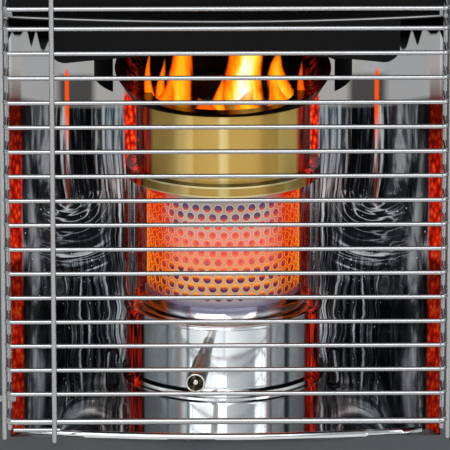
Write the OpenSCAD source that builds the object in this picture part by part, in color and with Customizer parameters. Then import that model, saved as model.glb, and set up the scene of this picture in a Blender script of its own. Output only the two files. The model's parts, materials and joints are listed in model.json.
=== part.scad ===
// Radiant wick heater for liquid fuel: cabinet, cartridge tank, wick drive, burner, reflector and wire guard.
// X runs to the right, Y to the back and Z up; the front faces -Y and the feet stand on Z = 0.

/* [Cabinet] */
// Width of the cabinet over its side panels
cab_w = 412; // [404:1:430]
// Depth of the cabinet from its front face to its back
cab_d = 232; // [228:1:244]
// Thickness of the cabinet's steel sheet
sheet = 1; // [0.8:0.1:1.3]
// Height of the reflector floor above the ground
floor_z = 150; // [147:1:160]
// Clear height between the reflector floor and the ceiling
chamber_h = 239.5; // [236:0.5:250]
// Thickness of the reflector floor and of the ceiling
plate_t = 1; // [0.8:0.1:1.3]
// Height of the black fascia above the ceiling
fascia_h = 43.5; // [38:0.5:52]
// Width of the stile left of the chamber
stile_w = 27; // [24:1:32]
// Width of the chamber's front opening
window_w = 238; // [234:1:244]
// Width of the bent edges of the sheets
return_w = 12; // [8:1:16]
// Thickness of the top plate
top_t = 1.5; // [1.2:0.1:2]
// Room between the top plate's turned-down edge and the panels
top_room = 1; // [0.6:0.1:1.6]
// Height of the top plate's turned-down edge
skirt_h = 8; // [5:1:12]
// Length of a louvre slot in the rear panel
louvre_w = 70; // [50:1:80]
// Height of a louvre slot
louvre_h = 4; // [3:0.5:6]
// Spacing of the louvre slots
louvre_pitch = 12; // [10:1:16]
// Number of louvre slots in a column
louvre_rows = 8; // [4:1:9]
// Radius of the screw heads
screw_r = 3.6; // [3:0.1:4.5]
// Height of the screw heads
screw_h = 2; // [1.4:0.1:2.6]

/* [Base tray] */
// How far the tray reaches past each side of the cabinet
tray_side = 16; // [15:1:20]
// How far the tray reaches past the cabinet's front
tray_front = 53; // [50:1:60]
// How far the tray reaches past the cabinet's back
tray_back = 25; // [24:1:32]
// Height of the tray over its lip
tray_h = 9; // [7:1:14]
// Thickness of the tray's sheet
tray_t = 1.2; // [1:0.1:1.6]
// Radius of the tray's corners
tray_r = 22; // [12:1:30]
// Height of the rubber feet
foot_h = 5; // [4:0.5:8]
// Radius of the rubber feet
foot_r = 11; // [8:0.5:14]

/* [Clearances] */
// Clearance of a piece that rests on a seat
gap = 0.3; // [0.25:0.05:0.4]
// Radial clearance of a shaft in its bearing
run = 0.05; // [0.04:0.01:0.08]

/* [Fuel] */
// Height of the legs under the reservoir
leg_h = 6; // [4:1:8]
// Height of the reservoir
res_h = 42; // [38:1:46]
// Wall of the reservoir
res_t = 1; // [0.8:0.1:1.4]
// Distance of the reservoir from the panels
res_room = 13; // [11:1:16]
// Height of the tank receiver
recv_h = 38; // [36:1:46]
// Wall of the tank receiver
recv_t = 2; // [1.5:0.1:3]
// Room between the cartridge tank and the walls of its bay
tank_room = 19.5; // [15:0.5:24]
// Depth of the cartridge tank
tank_d = 146; // [130:1:156]
// Wall of the cartridge tank
tank_t = 1; // [0.8:0.1:1.4]
// Radius of the tank's upright edges
tank_r = 14; // [8:1:20]
// Height of the spacer under the tank's cover
cover_h = 8; // [6:1:12]
// Radius of the tank's cap
cap_r = 20; // [18:0.5:23]
// Height of the tank's cap
cap_h = 18; // [15:1:22]
// Radius of the tank's neck
neck_r = 14; // [12:0.5:15]
// Radius of the tank handle's wire
bail_r = 2.5; // [2:0.1:3]
// Inner width of the tank handle
bail_w = 66; // [56:1:76]
// Length of the tank handle's arms
bail_l = 44; // [34:1:54]
// Radius of the gauge float
float_r = 12; // [10:0.5:13]
// Thickness of the gauge float
float_h = 11; // [8:0.5:13]
// Travel of the gauge float
float_travel = 13; // [10:1:14]
// Radius of the gauge rod
gauge_r = 1.5; // [1.2:0.1:2]
// Width of the gauge window
gauge_w = 34; // [28:1:42]
// Height of the gauge window
gauge_h = 20; // [18:1:24]

/* [Wick] */
// Outer radius of the wick
wick_r = 35.4; // [34.8:0.1:36]
// Thickness of the wick
wick_t = 3; // [2.6:0.1:3.4]
// Wall of the draft tube, the wick holder and the wick guide
wick_wall = 1.2; // [1:0.1:1.4]
// How far the raised wick stands above its guide
wick_up = 7; // [5:0.5:9]
// Travel of the wick from lit to out
wick_travel = 12; // [10:0.5:13]
// Height of the shaft above the reservoir
shaft_up = 42; // [40:1:46]
// Radius of the wick shaft
shaft_r = 3; // [2.6:0.1:3.4]
// Module of the pinion's and the rack's teeth
tooth_m = 1; // [0.95:0.05:1.05]
// Number of teeth on the pinion
pinion_n = 12; // [12:1:13]
// Width of the pinion and the rack
rack_w = 6; // [5:0.5:7]
// Radius of the wick knob
knob_r = 22; // [19:1:24]
// Depth of the wick knob
knob_d = 19; // [16:1:22]
// Radius of the stop button
button_r = 9; // [7.5:0.5:11]
// Travel of the stop button
button_travel = 5; // [4:0.5:6]

/* [Igniter] */
// Height of the igniter rocker's pivot above the reservoir
rocker_up = 72; // [70:1:75]
// Distance from the rocker's pivot to the front face
rocker_in = 40; // [36:1:44]
// Thickness of the rocker's bar
rocker_t = 5; // [4:0.5:6]
// Height of the rocker's bar
rocker_h = 6; // [5:0.5:7]
// Radius of the rocker's pivot pin
rocker_pin_r = 2; // [1.6:0.1:2.4]
// Swing of the rocker in degrees
rocker_swing = 14; // [10:1:15]
// Radius of the ceramic plug
plug_r = 3.4; // [3:0.1:3.6]
// Width of a battery cell
cell_r = 12.6; // [11:0.1:13]
// Length of a battery cell
cell_l = 49; // [44:1:52]
// Wall of the battery box
case_t = 1.5; // [1.2:0.1:2]

/* [Burner] */
// Distance of the burner's axis behind the front face
setback = 124; // [120:1:128]
// Outer radius of the glass
glass_r = 54.2; // [53.4:0.1:55]
// Wall of the glass
glass_t = 2.6; // [2.2:0.1:3]
// Height of the glass
glass_h = 83; // [79:1:87]
// Height of the burner drum from the floor to its rim
drum_h = 38; // [36:1:42]
// Thickness of the burner's sheet
burner_t = 0.8; // [0.7:0.1:1]
// Height of the rim that holds the glass
rim_h = 3; // [2:0.5:5]
// How far the drum's foot stands out
foot_out = 2.6; // [1.6:0.2:3.6]
// Outer radius of the perforated flame tube
tube_r = 43.2; // [42.8:0.1:44]
// Radius of the inner flame tube
inner_r = 29; // [28:0.5:30]
// Height of the dished collar at the foot of the flame tube
dish_h = 10.6; // [9.6:0.2:11.6]
// Diameter of the flame tube's holes
hole_d = 4.9; // [4.3:0.1:5]
// Number of holes round the flame tube
hole_n = 42; // [40:1:43]
// Spacing of the rows of holes
hole_pitch = 5.2; // [5:0.1:5.5]
// Height of the lowest row of holes above the dish
hole_up = 6; // [5:0.1:7]
// Number of rows of holes
hole_rows = 11; // [8:1:11]
// Height of the brass lip ring
lip_h = 6.5; // [5.5:0.5:8]
// Radius of the brass sleeve
brass_r = 49.4; // [48.6:0.1:50]
// Height of the brass sleeve
brass_h = 39.7; // [36:0.5:43]
// Radius of the flame collar's flange
collar_r = 54; // [53:0.2:55]
// Radius of the flame collar at its back
collar_top_r = 69; // [66:0.5:70]
// Height of the flame collar at its back
collar_h = 25; // [22:0.5:27]
// Height that the flame collar keeps at its front
collar_front_h = 1.5; // [1:0.1:2]
// Height of the flame collar at its sides
collar_side_h = 12; // [10:0.5:13]
// Length of the burner handle from the drum
handle_l = 77; // [70:1:80]
// Turn of the burner handle from straight ahead, in degrees
handle_turn = 6; // [0:0.5:9]
// Distance of the burner handle's line from the burner's axis
handle_off = 3; // [0:0.5:4]
// Radius of the handle's rod at the drum
rod_r = 3; // [2.6:0.1:3.4]
// Radius of the handle's grip at its tip
grip_r = 5.4; // [4.8:0.1:6]
// Length of the handle's grip
grip_l = 40; // [34:1:44]

/* [Reflector] */
// Distance of the reflector's back behind the burner's axis
refl_back = 80; // [78:1:84]
// Thickness of the reflector's sheet
refl_t = 0.8; // [0.7:0.1:1]
// Radius of the reflector's rear corners
refl_r = 45; // [40:1:50]
// Tilt of the reflector's sides in degrees
refl_tilt = 6; // [5:0.5:7]
// Flare of the reflector's front edges in degrees
flare_a = 23; // [18:1:28]
// Length of the flared front edges
flare_l = 14; // [10:1:18]
// Width of the reflector's front flange
flange_w = 2; // [1.4:0.2:3]
// How far the ceiling's bowed front edge stands past the front face
lip_out = 15; // [13:0.5:17]
// How far the floor's bowed front edge stands past the front face
floor_out = 3.5; // [3:0.5:5]
// Bow of the front edges of floor and ceiling
lip_bow = 12.5; // [11:0.5:13]
// Radius of the floor's rolled front edge
roll_r = 2.3; // [2:0.1:2.6]
// Radius of the beads on the ceiling's edge and the drum's rim
bead_r = 1.2; // [1:0.1:1.5]
// Half width of the black upper baffle
baffle_w = 97; // [92:1:102]
// Distance of the baffle's face in front of the burner's axis
baffle_out = 76; // [74:1:84]
// Height of the baffle at its middle
baffle_h = 34.5; // [30:0.5:38]
// Rise of the baffle's arched lower edge
baffle_arch = 5; // [3:0.5:7]
// Radius of the baffle's lower corners
baffle_r = 9; // [6:1:12]
// Thickness of the baffle and the flame skirt
baffle_t = 1.2; // [1:0.1:1.5]
// Radius of the black skirt round the flames
flame_skirt_r = 73; // [72.5:0.5:75]
// Height of the flame skirt's lower edge above the brass sleeve
flame_skirt_up = 11; // [9:0.5:14]
// Half width of the flame skirt's open front
flame_skirt_open = 62; // [58:1:66]

/* [Guard] */
// Distance of the guard's wires in front of the front face
guard_out = 26; // [24:0.5:28]
// Radius of the guard's wires
wire_r = 1.28; // [1.1:0.02:1.5]
// Radius of the guard's bottom wire
bottom_wire_r = 1.75; // [1.5:0.05:2]
// Radius of the guard's uprights and rods
upright_r = 1.4; // [1.2:0.05:1.6]
// Height of the bottom wire above the reflector floor
bottom_wire_up = 16; // [15:0.5:18]
// Gap between the bottom wire and the first even wire
first_pitch = 15.9; // [15:0.1:16.5]
// Spacing of the even wires
wire_pitch = 13.75; // [13.5:0.05:14]
// Number of even wires
wire_n = 16; // [14:1:16]
// Gap between the last even wire and the top wire
last_pitch = 11; // [10:0.1:13]
// How far the uprights reach past the bottom and the top wires
upright_past = 10.5; // [8:0.5:11]
// Distance of the inner upright from the guard's left rod
inner_upright = 25; // [22:0.5:32]
// Bend radius of the wires at their ends
bend_r = 2.5; // [2:0.1:3]
// How deep the welded wires bite into each other
weld = 0.3; // [0.2:0.05:0.4]

/* [Carrying handle] */
// Room between the lifted tank and the bar of the upright handle
bar_room = 2; // [1:0.5:4]
// Distance of the handle's pivots below the top plate
pivot_down = 36; // [32:1:42]
// Radius of the handle's grip
carry_grip_r = 9; // [7:0.5:10]
// Length of the handle's grip
carry_grip_l = 120; // [100:1:140]
// Radius of the handle's bar
carry_r = 3.5; // [3:0.1:4]
// Thickness of the handle's arms
arm_t = 3; // [2.5:0.1:3.4]
// Width of the handle's arms
arm_w = 12; // [10:0.5:14]
// Radius of the pivot studs
stud_r = 3; // [2.6:0.1:3.4]
// Slope of the folded handle in degrees
fold_a = 50; // [46:1:54]

/* [Hidden] */
$fn = 64;
cut = 1;

tray_w = cab_w + 2 * tray_side;
tray_d = cab_d + tray_front + tray_back;
y_front = tray_front - tray_d / 2;
y_back = y_front + cab_d;
x_left = -cab_w / 2;
x_right = cab_w / 2;
base_z = foot_h + tray_t;
panel_top = floor_z - plate_t;
ceil_z = floor_z + chamber_h;
fascia_z = ceil_z + plate_t;
top_z = fascia_z + fascia_h;
top_over = top_t + top_room;

burner_x = x_left + stile_w + window_w / 2;
burner_y = y_front + setback;
window_x = burner_x + window_w / 2;
partition_x = window_x + 4 * sheet;

res_z = base_z + leg_h;
res_top = res_z + res_h;
recv_top = res_top + recv_h;
tank_x = (partition_x + x_right) / 2;
tank_w = x_right - partition_x - 2 * sheet - 2 * tank_room;
tank_y = (y_front + y_back) / 2;
tank_top = top_z - cover_h;
split_x = partition_x + sheet / 2;
cover_z = top_z + gap;
cover_top = cover_z + top_t;
bail_z = cover_top + bail_r + gap;
lug_w = 5;
lug_r = bail_r + 2;
gauge_x = tank_x - 30;
gauge_y = y_front + res_room + res_t + float_r + 1;
gauge_z = res_top + 36;
pointer_z = gauge_z + gauge_h / 2 - 4;
float_z = res_z + res_t + float_travel + 3;

draft_r = wick_r - wick_t - gap;
holder_r = wick_r + run + wick_wall;
guide_in = holder_r + gap;
guide_r = guide_in + wick_wall;
guide_top = floor_z + 2;
wick_top = guide_top + wick_up;
wick_h = wick_top - (res_z + res_t + wick_travel + 4);
shaft_z = res_top + shaft_up;
tooth_pitch = PI * tooth_m;
pinion_r = tooth_m * pinion_n / 2;
rack_teeth = 9;
rack_x = guide_r + 2.2;
shaft_x = burner_x + rack_x + pinion_r;
tooth_up = 0.85 * tooth_m;
tooth_down = 1.15 * tooth_m;
tooth_root = 0.9 * tooth_m;
tooth_tip = 0.3 * tooth_m;
guide_flange_r = rack_x + pinion_r + 2.6 * shaft_r;
bush_r = shaft_r + 3;
knob_gap = 3;
button_x = (shaft_x + gauge_x) / 2;
button_out = 7;
boss_l = 14;

rocker_x = burner_x - 20;
rocker_z = res_top + rocker_up;
rocker_y = y_front + rocker_in;
plug_y = burner_y - wick_r - plug_r - 4 * gap;
rocker_front = 1.5 * rocker_h;
case_x = (x_left + burner_x) / 2;
case_z = res_top + 20;
case_w = 4 * cell_r + 2 * case_t + 4 * gap;
case_h = 2 * cell_r + 2 * case_t + 2 * gap;
case_d = cell_l + 4;
door_t = 2;
door_pin_r = 1.3;
door_barrel_r = 2.6;
door_z = case_z + case_h + door_barrel_r + 1;
door_y = y_back + gap + door_barrel_r;

drum_z = floor_z + gap;
rim_z = floor_z + drum_h;
seat_z = rim_z + 0.6 + gap;
glass_top = seat_z + glass_h;
rim_in = glass_r + gap;
drum_r = rim_in + burner_t;
lip_in = glass_r + gap;
lip_r = lip_in + burner_t;
lip_top = glass_top + gap + burner_t;
sleeve_top = lip_top + brass_h;
tube_z = floor_z + 22;
tube_top = lip_top - burner_t - gap;
hole_z = rim_z + dish_h + hole_up;
inner_z = guide_top + gap;
inner_top = sleeve_top - 14;
inner_hole_n = 24;
inner_hole_rows = 9;
dish_in = tube_r + run;
dish_out = rim_in;
dish_run = dish_out - dish_in - burner_t;
dish_rho = (pow(dish_run, 2) + pow(dish_h, 2)) / (2 * dish_h);
collar_slope = atan((collar_side_h - collar_front_h) / collar_r);
handle_z = rim_z - 6;
grip_start = drum_r + handle_l - grip_l;
pin_r = 1.2;

bow_half = window_w / 2 - gap;
bow_r = (pow(bow_half, 2) + pow(lip_bow, 2)) / (2 * lip_bow);
flare_x = bow_half - flange_w;
side_x = flare_x - flare_l * sin(flare_a);
corner_y = refl_back - refl_r;
side_y = corner_y + refl_r * sin(refl_tilt);
side_l = (side_y + setback - sheet - flare_l * cos(flare_a)) / cos(refl_tilt);
corner_x = side_x - side_l * sin(refl_tilt) - refl_r * cos(refl_tilt);
flare_y = -setback + sheet + flare_l * cos(flare_a);
roll_z = panel_top + plate_t / 2;
roll_half = side_x - roll_r - gap;
corner_n = 24;
arch_half = baffle_w - baffle_r;
arch_r = (pow(arch_half, 2) + pow(baffle_arch, 2)) / (2 * baffle_arch);

rod_out = lip_out - lip_bow + plate_t + upright_r + gap;
rod_x = window_w / 2 + gap;
wire_end = rod_x - bend_r;
bottom_z = floor_z + bottom_wire_up;
first_z = bottom_z + first_pitch;
last_z = first_z + (wire_n - 1) * wire_pitch;
top_wire_z = last_z + last_pitch;
upright_z = bottom_z - upright_past;
upright_h = top_wire_z + upright_past - upright_z;
upright_x = rod_x + wire_r + upright_r - weld;
eye_h = 2.5 * upright_r;
eye_room = 2.5 * upright_r;
eye_foot = 6.5 * upright_r;
eye_low_z = (bottom_z + first_z) / 2;
eye_high_z = max(fascia_z, last_z + wire_r) + gap + eye_h / 2;

pivot_y = tank_y + tank_d / 2 + bar_room + carry_r;
pivot_z = top_z - pivot_down;
arm_l = (y_back - pivot_y + gap + carry_grip_r) / cos(fold_a);
arm_x = cab_w / 2 + top_over + 1;
stud_l = top_over + 1 + arm_t + gap;

// Box between two corners
module slab(a, b) {
  translate(a)
    cube(b - a);
}

// Upright tube between two heights
module pipe(r, bore, z0, z1) {
  translate([0, 0, z0])
    difference() {
      cylinder(h = z1 - z0, r = r);
      translate([0, 0, -cut])
        cylinder(h = z1 - z0 + 2 * cut, r = bore);
    }
}

// Rod along X from the origin
module rod_along_x(r, l) {
  rotate([0, 90, 0])
    cylinder(h = l, r = r);
}

// Rod along Y from the origin
module rod_along_y(r, l) {
  rotate([-90, 0, 0])
    cylinder(h = l, r = r);
}

// Outline of a rectangle with rounded corners
module round_rect(w, d, r) {
  square([w - 2 * r, d], center = true);
  square([w, d - 2 * r], center = true);
  for (sx = [-1, 1])
    for (sy = [-1, 1])
      translate([sx * (w / 2 - r), sy * (d / 2 - r)])
        circle(r = r);
}

module at_burner() {
  translate([burner_x, burner_y, 0])
    children();
}

module at_tank() {
  translate([tank_x, tank_y, 0])
    children();
}

module base_tray() {
  color("dimgray")
    translate([0, 0, foot_h])
      difference() {
        linear_extrude(height = tray_h)
          round_rect(tray_w, tray_d, tray_r);
        translate([0, 0, tray_t])
          linear_extrude(height = tray_h)
            round_rect(tray_w - 2 * tray_t, tray_d - 2 * tray_t, tray_r - tray_t);
      }
}

module rubber_feet() {
  foot_in = tray_r + foot_r / 2;
  color("black")
    for (sx = [-1, 1])
      for (sy = [-1, 1])
        translate([sx * (tray_w / 2 - foot_in), sy * (tray_d / 2 - foot_in), 0])
          cylinder(h = foot_h, r = foot_r);
}

module left_side() {
  color("slategray") {
    slab([x_left, y_front, base_z], [x_left + sheet, y_back, top_z]);
    slab([x_left, y_front, panel_top], [x_left + stile_w, y_front + sheet, top_z]);
    slab([x_left, y_back - 2 * sheet, base_z], [x_left + return_w, y_back - sheet, top_z]);
  }
}

module right_side() {
  color("slategray") {
    slab([x_right - sheet, y_front, base_z], [x_right, y_back, top_z]);
    slab([window_x, y_front, panel_top], [x_right, y_front + sheet, top_z]);
    slab([x_right - return_w, y_back - 2 * sheet, base_z], [x_right, y_back - sheet, top_z]);
  }
}

// Two lugs that carry the battery door's pin
module door_lugs() {
  lug_l = 6;
  half = case_w / 2 + lug_l;
  translate([case_x, 0, door_z]) {
    for (sx = [-1, 1])
      slab([sx * half - lug_l / 2, y_back, -door_barrel_r],
        [sx * half + lug_l / 2, door_y + door_barrel_r, door_barrel_r]);
    translate([-half, door_y, 0])
      rod_along_x(door_pin_r, 2 * half);
  }
}

module rear_panel() {
  louvre_x = louvre_w + 3 * louvre_pitch;
  louvre_z = (floor_z + ceil_z) / 2 - (louvre_rows - 1) * louvre_pitch / 2;
  color("slategray") {
    difference() {
      slab([x_left + sheet, y_back - sheet, base_z], [x_right - sheet, y_back, top_z]);
      for (i = [-1:1])
        for (k = [0:louvre_rows - 1])
          translate([i * louvre_x, y_back, louvre_z + k * louvre_pitch])
            cube([louvre_w, 4 * sheet, louvre_h], center = true);
      translate([case_x, y_back, case_z + case_h / 2])
        cube([case_w - 2 * case_t, 4 * sheet, case_h - 2 * case_t], center = true);
    }
    door_lugs();
  }
}

module control_panel() {
  slot_drop = (rocker_in + sheet) * sin(rocker_swing) + rocker_h;
  color("slategray")
    difference() {
      union() {
        slab([x_left + sheet, y_front, base_z], [x_right - sheet, y_front + sheet, panel_top]);
        slab([x_left + sheet, y_front, panel_top - sheet], [x_right - sheet, y_front + return_w, panel_top]);
        translate([button_x, y_front, shaft_z])
          rod_along_y(button_r + gap + 1.5, boss_l);
      }
      translate([shaft_x, y_front - cut, shaft_z])
        rod_along_y(bush_r + run, 4 * cut);
      translate([button_x, y_front - cut, shaft_z])
        rod_along_y(button_r + gap, boss_l + 2 * cut);
      slab([rocker_x - rocker_t / 2 - gap, y_front - cut, rocker_z - slot_drop],
        [rocker_x + rocker_t / 2 + gap, y_front + 3 * cut, rocker_z + rocker_h]);
      translate([gauge_x, y_front, gauge_z])
        cube([gauge_w, 4 * cut, gauge_h], center = true);
    }
}

module top_fascia() {
  color("black")
    slab([burner_x - window_w / 2, y_front, fascia_z], [window_x, y_front + sheet, top_z]);
}

module top_plate() {
  color("black") {
    slab([x_left - top_over, y_front - top_over, top_z], [split_x, y_back, top_z + top_t]);
    slab([x_left - top_over, y_front - top_over, top_z - skirt_h],
      [split_x, y_front - top_room, top_z]);
    slab([x_left - top_over, y_front - top_over, top_z - skirt_h],
      [x_left - top_room, y_back, top_z]);
  }
}

module tank_partition() {
  color("silver")
    slab([partition_x, y_front + return_w + gap, res_top],
      [partition_x + sheet, y_back - sheet, top_z]);
}

// Pan heads on both sides and on the rear panel
module cabinet_screws() {
  edge = 2 * return_w;
  inset = sheet + return_w / 2;
  color("silver") {
    for (z = [floor_z - edge, pivot_z - 2 * edge])
      for (y = [y_front + edge, y_back - edge]) {
        translate([x_left - screw_h, y, z])
          rod_along_x(screw_r, screw_h);
        translate([x_right, y, z])
          rod_along_x(screw_r, screw_h);
      }
    for (x = [x_left + inset, x_right - inset])
      for (z = [base_z + edge, floor_z, top_z - edge / 2])
        translate([x, y_back, z])
          rod_along_y(screw_r, screw_h);
  }
}

module reservoir() {
  low = [x_left + res_room, y_front + res_room, res_z];
  high = [x_right - res_room, y_back - res_room, res_top];
  wall = [res_t, res_t, res_t];
  pad = 20;
  color("silver")
    difference() {
      union() {
        slab(low, high);
        for (x = [low.x, high.x - pad])
          for (y = [low.y, high.y - pad])
            slab([x, y, base_z], [x + pad, y + pad, res_z]);
      }
      slab(low + wall, high - wall);
      at_burner()
        translate([0, 0, res_z - cut])
          cylinder(h = 3 * cut, r = draft_r + run);
      at_burner()
        translate([0, 0, res_top - 2 * cut])
          cylinder(h = 3 * cut, r = guide_in);
      at_tank()
        translate([0, 0, res_top - 2 * cut])
          cylinder(h = 3 * cut, r = neck_r);
      translate([gauge_x, gauge_y, res_top - 2 * cut])
        cylinder(h = 3 * cut, r = gauge_r + gap);
    }
}

module tank_receiver() {
  color("silver")
    at_tank()
      difference() {
        translate([0, 0, res_top])
          linear_extrude(height = recv_h)
            round_rect(tank_w, tank_d, tank_r);
        translate([0, 0, res_top - cut])
          linear_extrude(height = recv_h + cut - recv_t)
            round_rect(tank_w - 2 * recv_t, tank_d - 2 * recv_t, tank_r - recv_t);
        translate([0, 0, recv_top - 2 * recv_t])
          cylinder(h = 3 * recv_t, r = cap_r + 2);
      }
}

// Hollow tank with its neck pointing down
module cartridge_tank() {
  color("silver")
    at_tank()
      difference() {
        union() {
          translate([0, 0, recv_top + gap])
            linear_extrude(height = tank_top - recv_top - gap)
              round_rect(tank_w, tank_d, tank_r);
          translate([0, 0, recv_top - cap_h / 2])
            cylinder(h = cap_h / 2 + 1, r = neck_r);
        }
        translate([0, 0, recv_top + gap + tank_t])
          linear_extrude(height = tank_top - recv_top - gap - 2 * tank_t)
            round_rect(tank_w - 2 * tank_t, tank_d - 2 * tank_t, tank_r - tank_t);
        translate([0, 0, recv_top - cap_h])
          cylinder(h = cap_h + 2, r = neck_r - 2 * tank_t);
      }
}

// Cover over the tank, with two lugs for its handle
module tank_cover() {
  lug_x = bail_w / 2 + lug_w / 2 + bail_r + gap;
  color("black") {
    difference() {
      union() {
        slab([split_x + 2 * gap, y_front - top_over, cover_z], [x_right + top_over, y_back, cover_top]);
        at_tank()
          for (sx = [-1, 1])
            slab([sx * lug_x - lug_w / 2, -lug_r, cover_top], [sx * lug_x + lug_w / 2, lug_r, bail_z + lug_r]);
      }
      translate([tank_x - lug_x - lug_w, tank_y, bail_z])
        rod_along_x(bail_r + run, 2 * (lug_x + lug_w));
    }
    slab([split_x + 2 * gap, y_front - top_over, top_z - skirt_h],
      [x_right + top_over, y_front - top_room, cover_z]);
    slab([x_right + top_room, y_front - top_over, top_z - skirt_h], [x_right + top_over, y_back, cover_z]);
    at_tank()
      translate([0, 0, tank_top])
        linear_extrude(height = cover_z - tank_top)
          round_rect(tank_w - 2 * tank_r, tank_d - 2 * tank_r, tank_r);
  }
}

// Wire handle that lies folded on the cover
module tank_bail() {
  arm_c = bail_w / 2;
  color("silver")
    translate([tank_x, tank_y, bail_z]) {
      for (sx = [-1, 1]) {
        translate([sx * arm_c, -bail_l, 0])
          rod_along_y(bail_r, bail_l);
        translate([sx * arm_c, 0, 0])
          rotate([0, sx * 90, 0])
            cylinder(h = lug_w + bail_r + gap, r = bail_r);
        translate([sx * arm_c, 0, 0])
          sphere(r = bail_r);
        translate([sx * arm_c, -bail_l, 0])
          sphere(r = bail_r);
      }
      translate([-arm_c, -bail_l, 0])
        rod_along_x(bail_r, bail_w);
    }
}

module tank_cap() {
  cap_z = recv_top - cap_h;
  color("firebrick")
    at_tank()
      difference() {
        translate([0, 0, cap_z])
          cylinder(h = cap_h, r = cap_r);
        translate([0, 0, cap_z + cap_h / 2 - gap])
          cylinder(h = cap_h, r = neck_r + gap);
      }
}

// Float in the reservoir, its rod and the pointer behind the gauge window
module gauge_float() {
  color("orange") {
    translate([gauge_x, gauge_y, 0]) {
      translate([0, 0, float_z])
        cylinder(h = float_h, r = float_r);
      translate([0, 0, float_z])
        cylinder(h = pointer_z - float_z, r = gauge_r);
    }
    slab([gauge_x - 2, y_front + 3 * sheet, pointer_z - 2], [gauge_x + 2, gauge_y + gauge_r, pointer_z + 2]);
  }
}

module gauge_window() {
  edge = 2;
  color("lightcyan") {
    translate([gauge_x, y_front, gauge_z]) {
      slab([-gauge_w / 2 + run, 0, -gauge_h / 2 + run], [gauge_w / 2 - run, sheet, gauge_h / 2 - run]);
      slab([-gauge_w / 2 - edge, -edge, -gauge_h / 2 - edge], [gauge_w / 2 + edge, 0, gauge_h / 2 + edge]);
    }
  }
}

module draft_tube() {
  color("silver")
    at_burner() {
      pipe(draft_r, draft_r - wick_wall, res_z, guide_top);
      pipe(wick_r, draft_r - wick_wall, res_z + res_t, res_z + res_t + wick_wall);
    }
}

// Outer wick tube with its slot, its flange and the lug that carries the shaft's end
module wick_guide() {
  slot_w = rack_w + 2;
  lug_y = rack_w / 2 + 3;
  lug_t = 4;
  lug_half = 1.8 * shaft_r;
  shaft_rel = shaft_x - burner_x;
  color("silver")
    at_burner() {
      difference() {
        pipe(guide_r, guide_in, res_top, guide_top);
        slab([0, -slot_w / 2, res_top + wick_wall + 2], [2 * guide_r, slot_w / 2, guide_top - 8]);
      }
      pipe(guide_flange_r, guide_in, res_top, res_top + wick_wall);
      difference() {
        slab([shaft_rel - lug_half, lug_y, res_top],
          [shaft_rel + lug_half, lug_y + lug_t, shaft_z + 2 * shaft_r]);
        translate([shaft_rel, lug_y - cut, shaft_z])
          rod_along_y(shaft_r + run, lug_t + 2 * cut);
      }
    }
}

module wick() {
  color("wheat")
    at_burner()
      pipe(wick_r, wick_r - wick_t, wick_top - wick_h, wick_top);
}

// Outline of one tooth, pointing along +X from its pitch line
module tooth() {
  polygon([[-tooth_down, -tooth_root], [tooth_up, -tooth_tip],
    [tooth_up, tooth_tip], [-tooth_down, tooth_root]]);
}

// Metal sleeve round the wick, with the rack that the pinion drives
module wick_holder() {
  sleeve_h = 2.5 * wick_travel;
  rack_z = shaft_z - 2 * tooth_pitch;
  back_x = rack_x - tooth_down;
  color("silver")
    at_burner() {
      pipe(holder_r, wick_r + run, shaft_z - sleeve_h / 2, shaft_z + sleeve_h / 2);
      difference() {
        slab([wick_r, -rack_w / 2, rack_z - tooth_pitch],
          [back_x, rack_w / 2, rack_z + rack_teeth * tooth_pitch]);
        translate([0, 0, rack_z - 2 * tooth_pitch])
          cylinder(h = (rack_teeth + 4) * tooth_pitch, r = holder_r - wick_wall / 2);
      }
      translate([rack_x, rack_w / 2, 0])
        rotate([90, 0, 0])
          linear_extrude(height = rack_w)
            for (i = [0:rack_teeth - 1])
              translate([0, rack_z + i * tooth_pitch])
                tooth();
    }
}

module wick_shaft() {
  front = y_front - knob_gap - knob_d / 2;
  color("silver")
    translate([shaft_x, front, shaft_z])
      rod_along_y(shaft_r, burner_y + rack_w / 2 + 10 - front);
}

// Pinion with a gap between two teeth facing the rack
module wick_pinion() {
  color("silver")
    translate([shaft_x, burner_y + rack_w / 2, shaft_z])
      rotate([90, 0, 0])
        linear_extrude(height = rack_w)
          difference() {
            union() {
              circle(r = pinion_r - tooth_down + 0.1);
              for (i = [0:pinion_n - 1])
                rotate([0, 0, 180 + (i + 0.5) * 360 / pinion_n])
                  translate([pinion_r, 0])
                    tooth();
            }
            circle(r = shaft_r);
          }
}

// Round knob with grooves in its rim and a raised bar across its face
module wick_knob() {
  groove_n = 18;
  groove_r = 1.6;
  bar_h = 3;
  color("black")
    translate([shaft_x, y_front - knob_gap - knob_d, shaft_z]) {
      difference() {
        rod_along_y(knob_r, knob_d);
        for (i = [0:groove_n - 1])
          rotate([0, i * 360 / groove_n, 0])
            translate([knob_r, -cut, 0])
              rod_along_y(groove_r, knob_d + 2 * cut);
        translate([0, knob_d / 2, 0])
          rod_along_y(shaft_r, knob_d);
      }
      slab([-bar_h, -bar_h, -knob_r * 0.6], [bar_h, 0, knob_r * 0.6]);
    }
}

module dial_ring() {
  color("silver")
    translate([shaft_x, y_front - 2, shaft_z])
      difference() {
        rod_along_y(knob_r + 6, 2);
        translate([0, -cut, 0])
          rod_along_y(knob_r + 1.5, 4 * cut);
      }
}

module shaft_bush() {
  color("gold")
    translate([shaft_x, y_front - 2, shaft_z])
      difference() {
        union() {
          rod_along_y(bush_r, 2 + return_w);
          translate([0, 2 + sheet, 0])
            rod_along_y(bush_r + 3, 3);
        }
        translate([0, -cut, 0])
          rod_along_y(shaft_r + run, 2 + return_w + 2 * cut);
      }
}

module stop_button() {
  color("firebrick")
    translate([button_x, y_front - button_out, shaft_z])
      rod_along_y(button_r, button_out + boss_l - button_travel - 1);
}

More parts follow.
